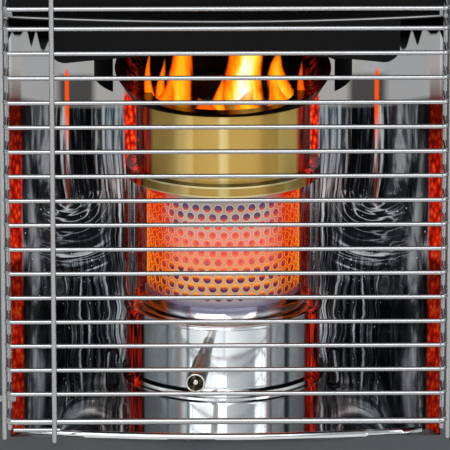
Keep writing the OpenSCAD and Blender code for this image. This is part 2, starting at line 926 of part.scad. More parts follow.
// Rocking bar from the front tab to the plug beside the wick
module igniter_rocker() {
  end_r = plug_r + 2.4;
  color("silver")
    difference() {
      union() {
        slab([rocker_x - rocker_t / 2, y_front - rocker_front, rocker_z - rocker_h / 2],
          [rocker_x + rocker_t / 2, plug_y, rocker_z + rocker_h / 2]);
        translate([rocker_x, plug_y, rocker_z - rocker_h / 2])
          cylinder(h = rocker_h, r = end_r);
        translate([rocker_x - rocker_t / 2, rocker_y, rocker_z])
          rod_along_x(rocker_h * 0.8, rocker_t);
      }
      translate([rocker_x - rocker_t, rocker_y, rocker_z])
        rod_along_x(rocker_pin_r + run, 2 * rocker_t);
      translate([rocker_x, plug_y, rocker_z - rocker_h])
        cylinder(h = 2 * rocker_h, r = plug_r + run);
    }
}

module igniter_tab() {
  tab_w = 28;
  tab_d = 14;
  tab_h = 11;
  color("black")
    translate([rocker_x, y_front - rocker_front - tab_d, rocker_z])
      slab([-tab_w / 2, 0, -tab_h / 2], [tab_w / 2, tab_d, tab_h / 2]);
}

// Ceramic plug with its heating loop
module igniter_plug() {
  plug_z = rocker_z - rocker_h;
  plug_h = 2 * rocker_h;
  loop_r = 2;
  loop_wire = 0.4;
  color("white")
    translate([rocker_x, plug_y, plug_z]) {
      cylinder(h = plug_h, r = plug_r);
      translate([0, 0, plug_h + loop_r - loop_wire])
        rotate([90, 0, 0])
          rotate_extrude()
            translate([loop_r, 0])
              circle(r = loop_wire);
    }
}

// Two cheeks on the reservoir with the rocker's pivot pin
module rocker_bracket() {
  cheek_t = 2;
  cheek_d = 14;
  inner = rocker_t / 2 + gap;
  color("silver")
    translate([rocker_x, rocker_y, 0]) {
      for (sx = [-1, 1])
        translate([sx * (inner + cheek_t / 2), 0, 0])
          slab([-cheek_t / 2, -cheek_d / 2, res_top], [cheek_t / 2, cheek_d / 2, rocker_z + rocker_h]);
      slab([-inner - cheek_t, -cheek_d / 2, res_top], [inner + cheek_t, cheek_d / 2, res_top + cheek_t]);
      translate([-inner - cheek_t, 0, rocker_z])
        rod_along_x(rocker_pin_r, 2 * (inner + cheek_t));
    }
}

module battery_box() {
  color("black")
    translate([case_x, y_back - sheet - case_d, case_z])
      difference() {
        slab([-case_w / 2, 0, 0], [case_w / 2, case_d, case_h]);
        slab([-case_w / 2 + case_t, case_t, case_t], [case_w / 2 - case_t, case_d + cut, case_h - case_t]);
      }
}

module battery_cells() {
  nub = 2;
  color("silver")
    for (sx = [-1, 1])
      translate([case_x + sx * (cell_r + gap), y_back - sheet - case_d + case_t, case_z + case_h / 2 - gap]) {
        rod_along_y(cell_r / 4, nub + cut);
        translate([0, nub, 0])
          rod_along_y(cell_r, cell_l - nub);
      }
}

// Door over the battery box, hanging from its hinge
module battery_door() {
  half = case_w / 2 + 2;
  color("black")
    translate([case_x, 0, 0])
      difference() {
        union() {
          slab([-half, y_back + gap, case_z - 2], [half, y_back + gap + door_t, door_z]);
          translate([-half, door_y, door_z])
            rod_along_x(door_barrel_r, 2 * half);
        }
        translate([-half - cut, door_y, door_z])
          rod_along_x(door_pin_r + run, 2 * (half + cut));
      }
}

// Section of the dish: a hollow curve of even sheet from the flame tube down to the rim
module dish_section() {
  intersection() {
    translate([dish_in, rim_z - burner_t])
      square([dish_out - dish_in, dish_h + burner_t]);
    translate([dish_out, rim_z + dish_rho])
      difference() {
        circle(r = dish_rho + burner_t);
        circle(r = dish_rho);
      }
  }
}

// Polished drum with its foot, its rim and the dish that rises to the flame tube
module burner_drum() {
  foot_t = 1.4;
  curve = foot_out + 1;
  color("silver")
    at_burner()
      difference() {
        rotate_extrude() {
          translate([rim_in, drum_z])
            square([burner_t, rim_z + rim_h - drum_z]);
          translate([rim_in - 3, drum_z])
            square([foot_out + burner_t + 3, foot_t]);
          difference() {
            translate([drum_r - burner_t, drum_z])
              square([foot_out + burner_t / 2, foot_t + curve]);
            translate([drum_r + curve, drum_z + foot_t + curve])
              circle(r = curve);
          }
          translate([rim_in + bead_r, rim_z + rim_h - bead_r])
            circle(r = bead_r);
          dish_section();
        }
        handle_bore();
      }
}

// Stands a turned piece of the handle on the burner's axis plane, with its length along the handle's line
module along_handle() {
  rotate([0, 0, -handle_turn])
    translate([-handle_off, 0, handle_z])
      rotate([90, 0, 0])
        children();
}

// Hole through the drum's wall for the handle's rod
module handle_bore() {
  along_handle()
    translate([0, 0, drum_r - 2 * burner_t])
      cylinder(h = 4 * cut, r = rod_r + run);
}

// Staggered rows of radial holes through a tube's wall
module perforations(r, n, rows, pitch, d, z) {
  for (i = [0:rows - 1])
    for (k = [0:n - 1])
      rotate([0, 0, (k + 0.5 * (i % 2)) * 360 / n])
        translate([r - 2, 0, z + i * pitch])
          rotate([0, 90, 0])
            cylinder(h = 3, d = d);
}

// Holes for the two cross pins
module pin_bores(r) {
  for (i = [0, 1])
    rotate([0, 0, 45 + 90 * i])
      translate([-r - cut, 0, tube_z + 4 + 4 * i])
        rod_along_x(pin_r + run, 2 * (r + cut));
}

module outer_flame_tube() {
  color("orangered")
    at_burner()
      difference() {
        pipe(tube_r, tube_r - burner_t, tube_z, tube_top);
        perforations(tube_r, hole_n, hole_rows, hole_pitch, hole_d, hole_z);
        pin_bores(tube_r);
      }
}

module inner_flame_tube() {
  color("orangered")
    at_burner()
      difference() {
        pipe(inner_r, inner_r - burner_t, inner_z, inner_top);
        perforations(inner_r, inner_hole_n, inner_hole_rows, 1.6 * hole_pitch, hole_d, hole_z);
        pin_bores(inner_r);
      }
}

module flame_spreader() {
  color("dimgray")
    at_burner()
      translate([0, 0, inner_top]) {
        cylinder(h = 2, r = inner_r + 6);
        translate([0, 0, 2])
          cylinder(h = 3, r = inner_r - 4);
      }
}

module cross_pins() {
  color("dimgray")
    at_burner()
      for (i = [0, 1])
        rotate([0, 0, 45 + 90 * i])
          translate([-tube_r - cut, 0, tube_z + 4 + 4 * i])
            rod_along_x(pin_r, 2 * (tube_r + cut));
}

module glass() {
  color("lightcyan")
    at_burner()
      pipe(glass_r, glass_r - glass_t, seat_z, glass_top);
}

module lip_ring() {
  color("gold")
    at_burner() {
      pipe(lip_r, lip_in, lip_top - lip_h, lip_top);
      pipe(lip_r, tube_r - 3, lip_top - burner_t, lip_top);
    }
}

module brass_sleeve() {
  color("gold")
    at_burner()
      pipe(brass_r, brass_r - burner_t, lip_top, sleeve_top);
}

// Scoop-shaped collar on the sleeve: a flare cut off by a plane that rises to the back
module flame_collar() {
  t = burner_t;
  ring_r = tube_r - 3;
  keep = 3 * collar_top_r;
  color("dimgray")
    at_burner()
      translate([0, 0, sleeve_top])
        difference() {
          rotate_extrude()
            polygon([[ring_r, 0], [collar_r - t, 0], [collar_r, t], [collar_top_r, collar_h],
              [collar_top_r - t, collar_h], [collar_r - t, 2 * t], [collar_r - 2 * t, t], [ring_r, t]]);
          translate([0, -collar_r, collar_front_h])
            rotate([collar_slope, 0, 0])
              translate([-keep / 2, -keep / 2, 0])
                cube([keep, 2 * keep, keep]);
        }
}

// Tapered rod of the burner handle, its neck and the pin that shows inside the hollow grip
module handle_rod() {
  root = drum_r - burner_t;
  straight = drum_r + 1;
  neck_l = 2.5;
  tip = drum_r + handle_l - 3;
  color("dimgray")
    at_burner()
      along_handle()
        rotate_extrude()
          polygon([[0, root], [rod_r, root], [rod_r, straight], [1.35 * rod_r, grip_start - neck_l],
            [0.8 * rod_r, grip_start - neck_l], [0.8 * rod_r, grip_start], [rod_r / 2, grip_start],
            [rod_r / 2, tip], [0, tip]]);
}

module handle_grip() {
  bore = rod_r / 2 + run;
  mouth = grip_r - 1;
  mouth_l = 8;
  tip = drum_r + handle_l;
  color("dimgray")
    at_burner()
      along_handle()
        rotate_extrude()
          polygon([[bore, grip_start], [0.88 * grip_r, grip_start], [grip_r, tip], [mouth, tip],
            [mouth, tip - mouth_l], [bore, tip - mouth_l]]);
}

// Points of an arc, of a path run backwards and of a path mirrored in X
function arc_path(c, r, a0, a1, n) =
  [for (i = [0:n]) let (a = a0 + (a1 - a0) * i / n) c + r * [cos(a), sin(a)]];
function backwards(path) = [for (i = [len(path) - 1:-1:0]) path[i]];
function mirrored(path) = [for (p = path) [-p.x, p.y]];

// Right half of the reflector's ground plan at a depth t in its sheet, from the rear corner to the front flange
function reflector_half(t) =
  let (
    side = [cos(refl_tilt), sin(refl_tilt)],
    flare = [cos(flare_a), sin(flare_a)],
    front = sheet - setback + t
  )
  concat(
    arc_path([corner_x, corner_y], refl_r + t, 90, refl_tilt, corner_n),
    [
      [side_x, flare_y] + t * (side + flare) / (1 + side * flare),
      [flare_x + t * (1 - sin(flare_a)) / cos(flare_a), front],
      [bow_half, front]
    ]
  );

function reflector_path(t) = concat(backwards(mirrored(reflector_half(t))), reflector_half(t));

// One bent sheet, drawn as the strip between its outer and its inner face
module reflector() {
  color("silver")
    at_burner()
      translate([0, 0, floor_z])
        linear_extrude(height = chamber_h)
          polygon(concat(reflector_path(refl_t), backwards(reflector_path(0))));
}

// Outline of floor or ceiling, with a bowed front edge that stands out past the front face
module chamber_outline(out) {
  back = refl_back + refl_t + 1;
  front = setback + out;
  intersection() {
    translate([-bow_half, -front])
      square([2 * bow_half, front + back]);
    translate([0, bow_r - front])
      circle(r = bow_r, $fn = 128);
  }
}

// Runs a section along such a bowed edge, over half a width on each side
module along_bow(out, half) {
  turn = asin(half / bow_r);
  translate([0, bow_r - setback - out, 0])
    rotate([0, 0, 270 - turn])
      rotate_extrude(angle = 2 * turn, $fn = 128)
        translate([bow_r, 0])
          children();
}

// Plate with a rolled front edge, which hangs in front of the control panel and is cut away over it
module reflector_floor() {
  hole_r = glass_r - 5;
  color("silver")
    at_burner() {
      difference() {
        translate([0, 0, panel_top])
          linear_extrude(height = plate_t)
            chamber_outline(floor_out);
        translate([0, 0, panel_top - cut])
          cylinder(h = plate_t + 2 * cut, r = hole_r);
      }
      difference() {
        along_bow(floor_out, roll_half)
          translate([0, roll_z])
            circle(r = roll_r);
        slab([-bow_half, -setback - gap, roll_z - 2 * roll_r], [bow_half, 0, panel_top + gap]);
      }
    }
}

module ceiling() {
  color("black")
    at_burner()
      translate([0, 0, ceil_z])
        linear_extrude(height = plate_t)
          chamber_outline(lip_out);
}

module ceiling_bead() {
  color("silver")
    at_burner()
      along_bow(lip_out, bow_half)
        translate([0, ceil_z - bead_r])
          square([plate_t, plate_t + bead_r]);
}

// Face of the baffle: rounded lower corners and an arched lower edge
module baffle_face() {
  low = -baffle_h - baffle_arch;
  difference() {
    union() {
      translate([-baffle_w, low + baffle_r])
        square([2 * baffle_w, -low - baffle_r]);
      translate([-arch_half, low])
        square([2 * arch_half, baffle_r]);
      for (sx = [-1, 1])
        translate([sx * arch_half, low + baffle_r])
          circle(r = baffle_r);
    }
    translate([0, -baffle_h - arch_r])
      circle(r = arch_r, $fn = 128);
  }
}

module upper_baffle() {
  side_d = 60;
  side_h = baffle_h - baffle_r;
  color("black")
    at_burner()
      translate([0, -baffle_out, ceil_z]) {
        translate([0, baffle_t, 0])
          rotate([90, 0, 0])
            linear_extrude(height = baffle_t)
              baffle_face();
        for (sx = [-1, 1])
          translate([sx * (baffle_w - baffle_t / 2), 0, 0])
            slab([-baffle_t / 2, 0, -side_h], [baffle_t / 2, side_d, 0]);
      }
}

// Black skirt that hangs from the ceiling round the sides and the back of the flames
module flame_skirt() {
  low = sleeve_top + flame_skirt_up;
  color("black")
    at_burner()
      difference() {
        pipe(flame_skirt_r, flame_skirt_r - baffle_t, low, ceil_z);
        slab([-flame_skirt_open, -2 * flame_skirt_r, low - cut], [flame_skirt_open, 0, ceil_z + cut]);
      }
}

// Heights and radii of all the guard's wires, from the bottom up
function wire_z(i) = i == 0 ? bottom_z : i > wire_n ? top_wire_z : first_z + (i - 1) * wire_pitch;
function wire_size(i) = i == 0 ? bottom_wire_r : wire_r;

// Upright wire of the guard with rounded tips
module guard_upright() {
  cylinder(h = upright_h, r = upright_r);
  for (z = [0, upright_h])
    translate([0, 0, z])
      sphere(r = upright_r);
}

// Flat front of the guard: straight wires, the inner upright and the short stay below
module guard_front() {
  stay_l = inner_upright + 3;
  color("silver")
    at_burner() {
      for (i = [0:wire_n + 1])
        translate([-wire_end, -setback - guard_out, wire_z(i)])
          rod_along_x(wire_size(i), 2 * wire_end);
      translate([inner_upright - rod_x, -setback - guard_out - wire_r - upright_r + weld, upright_z])
        guard_upright();
      translate([-wire_end, -setback - guard_out, bottom_z - bottom_wire_r - 3])
        rod_along_x(wire_r, stay_l - bend_r);
    }
}

// One end of the guard: bent wire ends, the rod that they meet and the end upright
module guard_side() {
  back_l = guard_out - rod_out - bend_r;
  for (i = [0:wire_n + 1])
    translate([wire_end, -setback - guard_out + bend_r, wire_z(i)]) {
      rotate([0, 0, -90])
        rotate_extrude(angle = 90)
          translate([bend_r, 0])
            circle(r = wire_size(i));
      translate([bend_r, 0, 0])
        rod_along_y(wire_size(i), back_l);
    }
  translate([rod_x, -setback - rod_out, upright_z])
    guard_upright();
  translate([upright_x, -setback - guard_out + bend_r + wire_r, upright_z])
    guard_upright();
}

module guard_left() {
  color("silver")
    at_burner()
      mirror([1, 0, 0])
        guard_side();
}

module guard_right() {
  color("silver")
    at_burner()
      guard_side();
}

// Two eyes on the left stile that carry the guard's rod
module guard_eyes() {
  color("silver")
    at_burner()
      for (z = [eye_low_z, eye_high_z])
        difference() {
          slab([-rod_x - eye_foot, -setback - rod_out - eye_room, z - eye_h / 2],
            [-rod_x + eye_room, -setback, z + eye_h / 2]);
          translate([-rod_x, -setback - rod_out, z - eye_h])
            cylinder(h = 2 * eye_h, r = upright_r + run);
        }
}

// Square clip on the right that the guard's rod snaps into, open to the front
module guard_catch() {
  slot = upright_r + gap;
  color("silver")
    at_burner()
      difference() {
        slab([rod_x - eye_room, -setback - rod_out - eye_room, eye_high_z - eye_h / 2],
          [rod_x + eye_foot, -setback, eye_high_z + eye_h / 2]);
        slab([rod_x - slot, -setback - rod_out - 2 * eye_room, eye_high_z - eye_h],
          [rod_x + slot, -setback - rod_out + slot, eye_high_z + eye_h]);
      }
}

// Folded carrying handle: two flat arms and the bar behind the rear panel
module carry_handle() {
  color("silver")
    translate([0, pivot_y, pivot_z])
      rotate([-fold_a, 0, 0]) {
        difference() {
          for (x = [-arm_x - arm_t, arm_x])
            translate([x, 0, 0]) {
              slab([0, 0, -arm_w / 2], [arm_t, arm_l, arm_w / 2]);
              rod_along_x(arm_w / 2, arm_t);
            }
          translate([-arm_x - 2 * arm_t, 0, 0])
            rod_along_x(stud_r + run, 2 * (arm_x + 2 * arm_t));
        }
        translate([-arm_x - arm_t, arm_l, 0])
          rod_along_x(carry_r, 2 * (arm_x + arm_t));
      }
}

module carry_grip() {
  color("black")
    translate([-carry_grip_l / 2, pivot_y + arm_l * cos(fold_a), pivot_z - arm_l * sin(fold_a)])
      difference() {
        rod_along_x(carry_grip_r, carry_grip_l);
        translate([-cut, 0, 0])
          rod_along_x(carry_r + run, carry_grip_l + 2 * cut);
      }
}

// Studs on the side panels that the carrying handle turns on
module handle_studs() {
  head = 1.6;
  color("silver")
    translate([0, pivot_y, pivot_z])
      for (side = [0, 1])
        mirror([side, 0, 0])
          translate([x_right, 0, 0]) {
            rod_along_x(stud_r, stud_l);
            rod_along_x(stud_r + 2, top_over + 1 - gap);
            translate([stud_l, 0, 0])
              rod_along_x(stud_r + 2, head);
          }
}

base_tray();
rubber_feet();
left_side();
right_side();
rear_panel();
control_panel();
top_fascia();
top_plate();
tank_partition();
cabinet_screws();
reservoir();
tank_receiver();
cartridge_tank();
tank_cover();
tank_bail();
tank_cap();
gauge_float();
gauge_window();
draft_tube();
wick_guide();
wick();
wick_holder();
wick_shaft();
wick_pinion();
wick_knob();
dial_ring();
shaft_bush();
stop_button();
igniter_rocker();
igniter_tab();
igniter_plug();
rocker_bracket();
battery_box();
battery_cells();
battery_door();
burner_drum();
outer_flame_tube();
inner_flame_tube();
flame_spreader();
cross_pins();
glass();
lip_ring();
brass_sleeve();
flame_collar();
handle_rod();
handle_grip();
reflector();
reflector_floor();
ceiling();
ceiling_bead();
upper_baffle();
flame_skirt();
guard_front();
guard_left();
guard_right();
guard_eyes();
guard_catch();
carry_handle();
carry_grip();
handle_studs();
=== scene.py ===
# %% [markdown]
# # A radiant wick heater, burning
#
# The solids of this heater come from a CAD model that is already packed. Here they get their looks:
# finishes, flames, a crinkled mirror and small repeated details. The camera then looks at them as in the
# photograph. Lengths are in metres, or in millimetres times MM. Only the mirror's finish counts in plain
# millimetres.

import json
import math

import bmesh
import bpy
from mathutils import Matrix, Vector


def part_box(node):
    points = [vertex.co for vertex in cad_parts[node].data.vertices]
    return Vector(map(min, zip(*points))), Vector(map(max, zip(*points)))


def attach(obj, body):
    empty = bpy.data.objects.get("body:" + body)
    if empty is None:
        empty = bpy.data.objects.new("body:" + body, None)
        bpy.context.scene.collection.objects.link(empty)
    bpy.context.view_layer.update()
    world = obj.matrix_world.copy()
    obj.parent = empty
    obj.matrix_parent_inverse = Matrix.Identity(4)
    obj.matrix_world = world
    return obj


MM = 0.001
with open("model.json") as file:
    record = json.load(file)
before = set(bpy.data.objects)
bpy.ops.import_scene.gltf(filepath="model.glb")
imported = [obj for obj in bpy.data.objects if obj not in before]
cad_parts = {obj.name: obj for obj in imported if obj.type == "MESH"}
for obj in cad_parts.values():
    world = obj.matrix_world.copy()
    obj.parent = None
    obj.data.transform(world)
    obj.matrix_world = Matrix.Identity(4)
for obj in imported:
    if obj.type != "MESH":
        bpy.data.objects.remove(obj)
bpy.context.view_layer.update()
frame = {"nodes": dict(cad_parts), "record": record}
solid = frame["nodes"]

# %% [markdown]
# ## Places taken from the solids
#
# The burner is a stack of round pieces on one upright axis. The glass is the plainest of them, so the middle
# of its box gives the axis. Radii and heights come from the boxes of the pieces that carry them.

# %% Key places
def half_width(box):
    """Half the width of a box, which is the radius of the round piece in it."""
    return (box[1].x - box[0].x) / 2


glass_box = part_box("glass")
axis_x = (glass_box[0].x + glass_box[1].x) / 2
axis_y = (glass_box[0].y + glass_box[1].y) / 2
glass_r = half_width(glass_box)
tube_r = half_width(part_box("outer_flame_tube"))
floor_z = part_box("reflector")[0].z
sleeve_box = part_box("brass_sleeve")
sleeve_r, sleeve_top = half_width(sleeve_box), sleeve_box[1].z
lip_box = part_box("lip_ring")
lip_r, lip_low, lip_top = half_width(lip_box), lip_box[0].z, lip_box[1].z
drum_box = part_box("burner_drum")
foot_r, drum_low, drum_top = half_width(drum_box), drum_box[0].z, drum_box[1].z
print(f"axis {axis_x:.4f} {axis_y:.4f}, chamber floor {floor_z:.3f}, sleeve top {sleeve_top:.4f}")

# %% [markdown]
# ## Camera
#
# The photograph is a tight crop taken from far away with a long lens: the guard's wires stay parallel and the
# burner's rings are narrow ellipses. Their flatness gives a view from 16 degrees above. A lens of 480 mm on a
# 36 mm sensor, placed so that one of the 450 pixels is 0.57 mm wide at the burner's axis, gives that crop.

# %% Camera
PHOTO_SIDE = 450
PIXEL_AT_AXIS = 0.57 * MM
ELEVATION = math.radians(16)
AZIMUTH = math.radians(-0.7)
AIM_ASIDE, AIM_HEIGHT = 1.1 * MM, 235 * MM
LENS_MM, SENSOR_MM = 480, 36
CLIP_END = 100
aim = Vector((axis_x + AIM_ASIDE, axis_y, AIM_HEIGHT))
distance = PIXEL_AT_AXIS * LENS_MM / SENSOR_MM * PHOTO_SIDE
back = Vector((math.sin(AZIMUTH) * math.cos(ELEVATION), -math.cos(AZIMUTH) * math.cos(ELEVATION),
               math.sin(ELEVATION)))
camera = bpy.data.objects.new("camera", bpy.data.cameras.new("camera"))
camera.data.lens, camera.data.sensor_width = LENS_MM, SENSOR_MM
camera.data.clip_end = CLIP_END
camera.location = aim + distance * back
camera.rotation_euler = (-back).to_track_quat("-Z", "Y").to_euler()
bpy.context.scene.collection.objects.link(camera)
bpy.context.scene.camera = camera
print(f"camera {distance:.2f} m from the burner")

# %% [markdown]
# ## Adding nodes
#
# Every finish below is a tree of shader nodes. One function adds a node of any kind with its settings and
# links, and turns a colour, which is an sRGB hex code, to linear. A Mix node has inputs of the same name for
# numbers and for colours, so they go by number: 2 and 3 are its two numbers, 6 and 7 its two colours.

# %% Helpers for colours and nodes
BLACK = "#000000"


def linear(value):
    """An sRGB hex code as linear RGBA. Any other value is passed on as it is."""
    if not (isinstance(value, str) and value.startswith("#")):
        return value
    parts = [int(value[i:i + 2], 16) / 255 for i in (1, 3, 5)]
    return [c / 12.92 if c <= 0.04045 else ((c + 0.055) / 1.055) ** 2.4 for c in parts] + [1.0]


def add(tree, kind, sockets=(), stops=(), **settings):
    """Adds a node of a kind, which is a shader's kind unless its name says another.

    sockets are the values of the inputs, listed from the first one on or mapped from their names or numbers.
    An output as a value is linked, and so is a node, by its first output in use. stops are the (place,
    colour) pairs of a run of colours.
    """
    made = tree.nodes.new(kind if "Node" in kind else "ShaderNode" + kind)
    for name, value in settings.items():
        setattr(made, name, value)
    for key, value in sockets.items() if isinstance(sockets, dict) else enumerate(sockets):
        if isinstance(value, bpy.types.Node):
            value = next(output for output in value.outputs if output.enabled)
        if isinstance(value, bpy.types.NodeSocket):
            tree.links.new(value, made.inputs[key])
        else:
            made.inputs[key].default_value = linear(value)
    if stops:
        elements = made.color_ramp.elements
        while len(elements) < len(stops):
            elements.new(0.5)
        for element, (place, colour) in zip(elements, stops):
            element.position, element.color = place, linear(colour)
    return made


def finish_named(name):
    """A new material and its tree, which is still empty."""
    material = bpy.data.materials.new(name)
    material.use_nodes = True
    material.node_tree.nodes.clear()
    return material, material.node_tree


def surface(tree, sockets):
    """Ends a material's tree in a Principled surface with these sockets."""
    shader = add(tree, "BsdfPrincipled", sockets)
    add(tree, "OutputMaterial", {"Surface": shader})


# %% [markdown]
# ## Floor and light
#
# A plain pale floor, a grey room and two soft lamps. The polished metal shows the floor, so the floor's
# colour does much of the lighting in the chamber. A picture of a room would light it too, but a plain grey
# one needs no file.

# %% Floor, room and lamps
FLOOR_SIDE, FLOOR_DROP = 40, 0.5 * MM
LAMPS_AIM = Vector((0, 0, 0.25))
paper, tree = finish_named("matt_paper_floor")
here = add(tree, "TexCoord").outputs["Object"]
grain = add(tree, "TexNoise", {"Vector": here, "Scale": 3.0, "Detail": 4.0})
surface(tree, {
    "Base Color": add(tree, "ValToRGB", [grain], stops=[(0.3, "#dcdcda"), (0.7, "#e6e6e4")]),
    "Roughness": 0.85})
bpy.ops.mesh.primitive_plane_add(size=FLOOR_SIDE, location=(0, 0, -FLOOR_DROP))
ground = bpy.context.object
ground.name = "floor"
ground.data.materials.append(paper)

world = bpy.data.worlds.new("grey_room")
world.use_nodes = True
world.node_tree.nodes["Background"].inputs["Color"].default_value = linear("#c4c6c8")
world.node_tree.nodes["Background"].inputs["Strength"].default_value = 1.0
bpy.context.scene.world = world


def soft_lamp(name, place, size, watts):
    """A square lamp that faces the heater."""
    lamp = bpy.data.objects.new(name, bpy.data.lights.new(name, "AREA"))
    lamp.data.shape, lamp.data.size, lamp.data.energy = "SQUARE", size, watts
    lamp.location = place
    lamp.rotation_euler = (LAMPS_AIM - Vector(place)).to_track_quat("-Z", "Y").to_euler()
    bpy.context.scene.collection.objects.link(lamp)


soft_lamp("front_soft_lamp", (-1.6, -4.6, 4.2), 5.0, 260)
soft_lamp("side_soft_lamp", (4.0, -2.5, 3.0), 4.0, 120)
bpy.context.scene.view_settings.view_transform = "Standard"
print("floor, room and two lamps")

# %% [markdown]
# ## Painted and enamelled steel
#
# The cabinet is sheet steel with a dark grey baked paint: satin, with a faint orange peel. The top, the
# fascia and the baffle over the flames are black enamel, smoother than the paint and so dark that little
# shows in it. The skirt round the flames is the same enamel under dull soot. A photograph of paint would show
# seams on the folded sheet. Noise on the piece's own coordinates has none.

# %% Paint and enamel
def painted(name, dark, light, roughness, gloss, peel_mm, peel):
    """Sprayed and baked coat: two close tones and a faint orange peel of the given grain."""
    material, tree = finish_named(name)
    here = add(tree, "TexCoord").outputs["Object"]
    cloud = add(tree, "TexNoise", {"Vector": here, "Scale": 1 / (60 * MM), "Detail": 3.0})
    skin = add(tree, "TexNoise", {"Vector": here, "Scale": 1 / (peel_mm * MM), "Detail": 2.0})
    surface(tree, {
        "Base Color": add(tree, "ValToRGB", [cloud], stops=[(0.35, dark), (0.65, light)]),
        "Roughness": add(tree, "MapRange", [cloud, 0.0, 1.0, roughness - 0.04, roughness + 0.05]),
        "Specular IOR Level": gloss,
        "Normal": add(tree, "Bump", {"Height": skin, "Strength": peel, "Distance": 0.1 * MM})})
    return material


finish = {
    "cabinet_paint": painted("baked_grey_paint", "#3f4245", "#484b4e", 0.42, 0.5, 0.9, 0.25),
    "black_enamel": painted("black_glass_enamel", "#020203", "#050506", 0.3, 0.15, 2.5, 0.05),
}
soot = painted("sooted_enamel", "#020202", "#050404", 0.7, 0.03, 3.0, 0.2)
print("painted finishes:", list(finish))

# %% [markdown]
# ## Bare and plated metals
#
# Chrome and nickel plate are near mirrors with faint smears. Galvanised steel shows zinc flakes. Rolled brass
# keeps fine upright lines from its drawing. Heat turns bare steel brown and grey. All of them are metallic
# surfaces that differ in tint, sharpness and one pattern, so each takes only a few nodes.

# %% Plated metals
def plated(name, tint, roughness, smear_mm):
    """Bright electroplate with faint smears, which are a little darker and less sharp as a mirror."""
    material, tree = finish_named(name)
    smear = add(tree, "TexNoise", {
        "Vector": add(tree, "TexCoord").outputs["Object"], "Scale": 1 / (smear_mm * MM), "Detail": 3.0})
    dimmed = [0.92 * c for c in linear(tint)]
    surface(tree, {
        "Base Color": add(tree, "ValToRGB", [smear], stops=[(0.3, tint), (0.75, dimmed)]), "Metallic": 1.0,
        "Roughness": add(tree, "MapRange", [smear, 0.3, 0.7, roughness, roughness + 0.05])})
    return material


finish["chrome"] = plated("bright_chrome", "#e9eaec", 0.04, 14)
finish["guard_wire"] = plated("nickel_plated_wire", "#b2b3b5", 0.24, 9)
bright_nickel = plated("bright_nickel", "#f2ede2", 0.12, 6)

# Hot-dip zinc: flakes some 6 mm across that take the light differently.
zinc, tree = finish_named("galvanised_sheet")
flake = add(tree, "TexVoronoi", {
    "Vector": add(tree, "TexCoord").outputs["Object"], "Scale": 1 / (6 * MM)}).outputs["Color"]
tone = add(tree, "ValToRGB", [flake], stops=[(0.2, "#999ea2"), (0.8, "#b0b4b7")])
surface(tree, {"Base Color": tone, "Metallic": 1.0, "Roughness": 0.38})
finish["galvanised_steel"] = zinc

# Rolled brass, polished: drawn lines run up the piece, so the pattern is stretched along Z. They are some
# 5 mm apart, coarser than real ones, so that they show.
brass, tree = finish_named("polished_rolled_brass")
stretched = add(tree, "Mapping", {
    "Vector": add(tree, "TexCoord").outputs["Object"], "Scale": (1 / (5 * MM), 1 / (5 * MM), 1 / (200 * MM))})
line = add(tree, "TexNoise", {"Vector": stretched, "Scale": 1.0, "Detail": 3.0})
tone = add(tree, "ValToRGB", [line], stops=[(0.3, "#8f7434"), (0.5, "#c2a35c"), (0.7, "#dcc486")])
surface(tree, {"Base Color": tone, "Metallic": 1.0, "Roughness": 0.22})
finish["brass"] = brass

# Steel that has been hot many times: brown and grey oxide in soft clouds.
stained, tree = finish_named("heat_stained_steel")
cloud = add(tree, "TexNoise", {
    "Vector": add(tree, "TexCoord").outputs["Object"], "Scale": 1 / (12 * MM), "Detail": 5.0})
tone = add(tree, "ValToRGB", [cloud], stops=[(0.3, "#3a3531"), (0.55, "#7d7467"), (0.75, "#9a948b")])
surface(tree, {"Base Color": tone, "Metallic": 1.0, "Roughness": 0.26})
finish["heat_stained_steel"] = stained
print("plated metals, zinc, brass and stained steel")

# %% [markdown]
# ## Round mirrors of the burner
#
# The burner's brass and its drum are big enough to show the room as upright panels, light and dark, and the
# red image of the hot tube near either flank. True mirrors would need that whole room built round the heater,
# so the finish paints these reflections itself, and part of them shines by itself. It also paints highlights
# on bright edges, and shade in a fillet and under a rolled edge. It works from the height, from the distance
# to the axis, and from the side, which runs from -1 to 1 across a piece.

# %% Sums of several nodes
def product(tree, first, *others):
    """All the values multiplied."""
    for other in others:
        first = add(tree, "Math", [first, other], operation="MULTIPLY")
    return first


def hypotenuse(tree, first, second):
    """The length of the long side over two sides at a right angle."""
    squares = add(tree, "Math", [first, first, product(tree, second, second)], operation="MULTIPLY_ADD")
    return add(tree, "Math", [squares], operation="SQRT")


def between(tree, value, low, high, soft):
    """1 between two bounds, fading to 0 across a soft edge on both sides."""
    rise = add(tree, "MapRange", [value, low - soft, low + soft])
    fall = add(tree, "MapRange", [value, high + soft, high - soft])
    return product(tree, rise, fall)


# %% A function for bright sheet round the axis
EDGE_SOFT, SIDE_SOFT = 0.1 * MM, 0.06


def round_the_axis(tree, radius):
    """From the burner's axis: the place itself, the height, and the side as a share of a radius."""
    centred = add(tree, "Mapping", {
        "Vector": add(tree, "TexCoord").outputs["Object"], "Location": (-axis_x, -axis_y, 0)})
    part = add(tree, "SeparateXYZ", [centred]).outputs
    return centred, part["Z"], add(tree, "Math", [part["X"], radius], operation="DIVIDE")


def side_tone(tree, side, stops):
    """Colours across a piece, from (side, colour) stops."""
    spread = add(tree, "Math", [side, 0.5, 0.5], operation="MULTIPLY_ADD")
    return add(tree, "ValToRGB", [spread], stops=[((at + 1) / 2, colour) for at, colour in stops])


